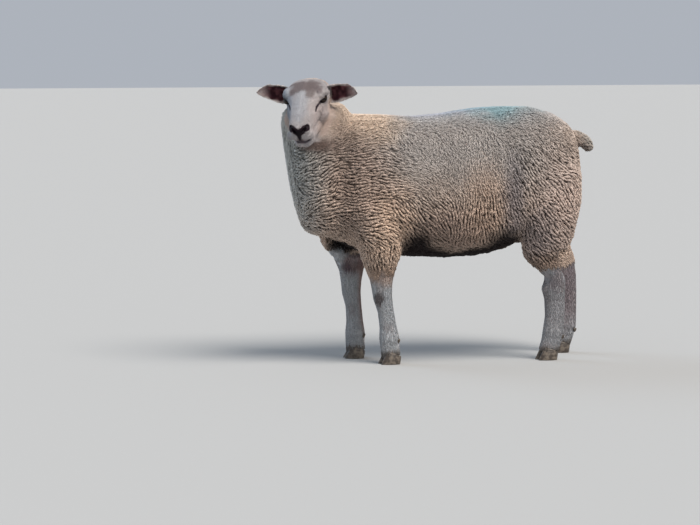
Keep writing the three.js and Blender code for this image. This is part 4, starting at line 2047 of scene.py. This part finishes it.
    @staticmethod
    def clear(roots: Roots, cut: Cut) -> Array:
        """Whether tufts keep off the eyes and the bare lines of the face.

        Args:
            roots: where they grow.
            cut: their sizes.

        Returns:
            True for each root that may grow.
        """
        lie = PELT.lie(roots.points, roots.normals, PELT.regions(roots.points))
        clear = np.ones(len(lie), dtype=bool)
        most_mask, past_lids, past_eye = 0.3, 9, 0.026
        for share in (0.0, 0.5, 1.0):
            points = roots.points + lie * share * cut.length[1]
            local = HEAD.local(points)
            for stroke in FACE.strokes:
                if stroke.bare:
                    clear &= stroke.mask(local) < most_mask
            for eye in EYES:
                outside, distance = eye.opening(points)
                clear &= (outside > past_lids) | (distance > past_eye)
        return clear

    def lands(self, roots: Roots, cut: Cut) -> Array:
        """Whether tufts end on the skin, not past an edge of it.

        Args:
            roots: where they grow.
            cut: their sizes.

        Returns:
            True for each root that may grow.
        """
        lie = PELT.lie(roots.points, roots.normals, PELT.regions(roots.points))
        tips = roots.points + lie * cut.length[0]
        spots, _ = self.ground.drop(tips)
        return np.linalg.norm(tips - spots, axis=1) < self.most_stray

    def build(
        self, locks: bpy.types.Material, wisps: bpy.types.Material, hair: bpy.types.Material
    ) -> None:
        """Covers the animal.

        Args:
            locks: finish of the fleece's locks.
            wisps: finish of the finer wool between them.
            hair: finish of the short hair.
        """
        bands = ("neck", "breast", "shoulder", "ribs", "haunch", "rump")
        fewer = (*bands[::2], "tail")
        woolly = self.scatter.spread(self.lock_spacing, self.in_wool)
        ridged = PELT.coarseness(woolly.points) > self.scatter.rng.random(len(woolly.points))
        self.lay(woolly.pick(ridged), Covering.LOCK, self.lock, locks, bands)
        woolly = self.scatter.spread(self.wisp_spacing, self.in_wool)
        chance = 1 - (1 - self.sparse_wisps) * PELT.coarseness(woolly.points)
        kept = chance > self.scatter.rng.random(len(woolly.points))
        self.lay(woolly.pick(kept), Covering.WISP, self.wisp, wisps, fewer)
        face = self.scatter.spread(self.face_spacing, self.near_face)
        face = face.pick(self.clear(face, CUTS[Covering.FACE]))
        self.lay(face, Covering.FACE, self.tuft, hair, ("hair",))
        shank = self.scatter.spread(self.shank_spacing, self.near_shank)
        above = shank.points[:, 2] > self.lowest_root
        shank = shank.pick((shank.normals[:, 2] > self.steepest) & above)
        shank = shank.pick(self.lands(shank, CUTS[Covering.SHANK]))
        self.lay(shank, Covering.SHANK, self.tuft, hair, ("front", "hind"))
        ear = self.scatter.spread(self.ear_spacing, lambda p: PELT.regions(p).ear > 0.5)
        ear = ear.pick(self.lands(ear, CUTS[Covering.EAR]))
        hollow = PELT.ear_hollow(ear.points, ear.normals)
        self.lay(ear.pick(hollow < 0.4), Covering.EAR, self.tuft, hair, ("hair",))


# ---------------------------------------------------------------- eyes and hooves


@dataclass
class Eyeballs:
    """The two wet eyes between their lids."""

    rings: int = 32
    cornea: float = 1.1 * MM
    cornea_rise: Span = (0.72, 0.98)

    def build(self, material: bpy.types.Material) -> None:
        """Makes both eyes.

        Args:
            material: their finish.
        """
        for eye in EYES:
            centre, radius = eye.ball()
            gaze = eye.axes()[0]
            bm = bmesh.new()
            bmesh.ops.create_uvsphere(
                bm, u_segments=self.rings * 2, v_segments=self.rings, radius=radius
            )
            turn = Vector((0, 0, 1)).rotation_difference(Vector(gaze)).to_matrix()
            bmesh.ops.rotate(bm, verts=bm.verts, matrix=turn)
            bmesh.ops.translate(bm, verts=bm.verts, vec=Vector(centre))
            piece = object_from(bm, f"{eye.name}_ball")
            mesh = piece.data
            offset = read_points(mesh) - centre
            level = unit(np.cross(gaze, (0, 0, 1)))
            upright = np.cross(level, gaze)
            own = np.stack((offset @ level, offset @ upright, offset @ gaze), axis=1)
            bulge = self.cornea * smoothstep(own[:, 2] / radius, *self.cornea_rise)
            write_points(mesh, centre + offset * (1 + bulge / radius)[:, None])
            write_field(mesh, STRAND, own / MM)
            mesh.shade_smooth()
            finish_piece(piece, material)
            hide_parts(eye.name)


@dataclass
class Hooves:
    """Claws and dewclaws, rounded from their solids."""

    rounding: float = 1.4 * MM
    sharp_angle: float = 50.0
    tip_width: float = 0.45
    tip_rise: float = 1.4
    dewclaw_smoothing: int = 6
    dewclaw_size: float = 0.8
    dewclaw_set: float = 3 * MM

    def point(self, bm: bmesh.types.BMesh, low: Vector, high: Vector) -> None:
        """Draws a dewclaw's lower end to a blunt point.

        Args:
            bm: the dewclaw's shape.
            low: the low corner of its CAD box.
            high: the high corner.
        """
        middle = (low + high) / 2
        for vertex in bm.verts:
            rise = (vertex.co.z - low.z) / (high.z - low.z)
            width = self.tip_width + (1 - self.tip_width) * min(1.0, rise * self.tip_rise)
            vertex.co.x = middle.x + (vertex.co.x - middle.x) * width
            vertex.co.y = middle.y + (vertex.co.y - middle.y) * width
            vertex.co = middle + (vertex.co - middle) * self.dewclaw_size
            vertex.co.y -= self.dewclaw_set

    def build(self, material: bpy.types.Material) -> None:
        """Makes every claw.

        Args:
            material: their finish.
        """
        for name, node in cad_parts.items():
            if "claw" not in name:
                continue
            bm = bmesh.new()
            bm.from_mesh(node.data)
            bmesh.ops.remove_doubles(bm, verts=bm.verts, dist=0.01 * MM)
            bmesh.ops.dissolve_limit(
                bm, angle_limit=math.radians(1), verts=bm.verts, edges=bm.edges
            )
            least = math.radians(self.sharp_angle)
            sharp = [e for e in bm.edges if e.calc_face_angle(0) > least]
            bmesh.ops.bevel(
                bm, geom=sharp, offset=self.rounding, segments=2, profile=0.5,
                affect="EDGES", material=-1, clamp_overlap=True,
            )
            if name.startswith("dewclaw"):
                self.point(bm, *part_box(name))
                bmesh.ops.subdivide_edges(bm, edges=bm.edges, cuts=2, use_grid_fill=True)
                for _ in range(self.dewclaw_smoothing):
                    bmesh.ops.smooth_vert(
                        bm, verts=bm.verts, factor=0.5, use_axis_x=True, use_axis_y=True,
                        use_axis_z=True,
                    )
            piece = object_from(bm, f"horn_{name}")
            piece.data.shade_smooth()
            finish_piece(piece, material)
            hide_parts(name)


# ---------------------------------------------------------------- studio


def way_out(azimuth: float, elevation: float) -> Vector:
    """The way out from the animal at an azimuth from its front and an elevation."""
    a, e = math.radians(azimuth), math.radians(elevation)
    return Vector((math.sin(a) * math.cos(e), -math.cos(a) * math.cos(e), math.sin(e)))


@dataclass(frozen=True)
class Lamp:
    """A broad far lamp, placed round the animal in degrees."""

    name: str
    azimuth: float
    elevation: float
    breadth: float
    strength: float
    colour: Colour
    distance: float = 10.0

    def place(self) -> None:
        """Aims the lamp at the animal."""
        data = bpy.data.lights.new(self.name, "SUN")
        data.angle = math.radians(self.breadth)
        data.energy, data.color = self.strength, self.colour
        lamp = new_object(self.name, data)
        out = way_out(self.azimuth, self.elevation)
        lamp.location = out * self.distance
        lamp.rotation_euler = (-out).to_track_quat("-Z", "Y").to_euler()


@dataclass
class Studio:
    """The pale floor, the soft lamps and the camera."""

    view_from: float = 77.0
    look_down: float = 5.04
    camera_left: float = 7.737
    camera_ahead: float = 2.050
    camera_up: float = 0.983
    focal: float = 144.4
    farthest: float = 100.0
    floor_size: float = 60.0
    floor_colour: tuple[float, ...] = (0.36, 0.36, 0.355, 1)
    air_colour: tuple[float, ...] = (0.84, 0.90, 1.0, 1)
    air_strength: float = 0.50
    lamps: tuple[Lamp, ...] = (
        Lamp("key", 122, 56, 34, 4.2, (1.0, 0.95, 0.89)),
        Lamp("cool side", -42, 26, 40, 1.2, (0.62, 0.80, 1.0)),
    )

    def camera(self) -> None:
        """Creates the camera beside the animal."""
        data = bpy.data.cameras.new("camera")
        data.lens = self.focal
        data.clip_end = self.farthest
        camera = new_object("camera", data)
        camera.location = Vector(BODY.world(self.camera_left, self.camera_ahead, self.camera_up))
        ahead = -way_out(self.view_from, self.look_down)
        camera.rotation_euler = ahead.to_track_quat("-Z", "Y").to_euler()
        bpy.context.scene.camera = camera

    def floor(self) -> None:
        """Lays the pale floor."""
        bm = bmesh.new()
        bmesh.ops.create_grid(bm, x_segments=2, y_segments=2, size=self.floor_size / 2)
        piece = object_from(bm, "floor")
        material, nodes, shader = new_material("pale floor")
        nodes.dress(shader, {"Base Color": self.floor_colour, "Roughness": 0.9})
        piece.data.materials.append(material)

    def build(self) -> None:
        """Sets up the whole studio."""
        world = bpy.data.worlds.new("studio air")
        world.use_nodes = True
        air = world.node_tree.nodes["Background"]
        air.inputs["Color"].default_value = self.air_colour
        air.inputs["Strength"].default_value = self.air_strength
        bpy.context.scene.world = world
        bpy.context.scene.view_settings.view_transform = "Standard"
        self.camera()
        self.floor()
        for lamp in self.lamps:
            lamp.place()


def main() -> None:
    """Builds the ewe and her studio in order."""
    logging.basicConfig(level=logging.INFO, format="%(relativeCreated)6d ms %(message)s")
    Studio().build()
    maker = Skin()
    skin = maker.build(SkinFinish().make())
    Eyeballs().build(EyeFinish().make())
    Hooves().build(HornFinish().make())
    locks = StrandFinish("fleece locks", 0.30, 0.9, 1.3, 7.0).make()
    wisps = StrandFinish("fleece wisps", 0.14, 0.6, 1.3, 5.0).make()
    hair = StrandFinish("short hair", 0.14, 0.2, 0.5, 5.0, 0.85).make()
    Coat(Scatter(skin), Ground(skin, maker.outline)).build(locks, wisps, hair)


if __name__ == "__main__":
    main()
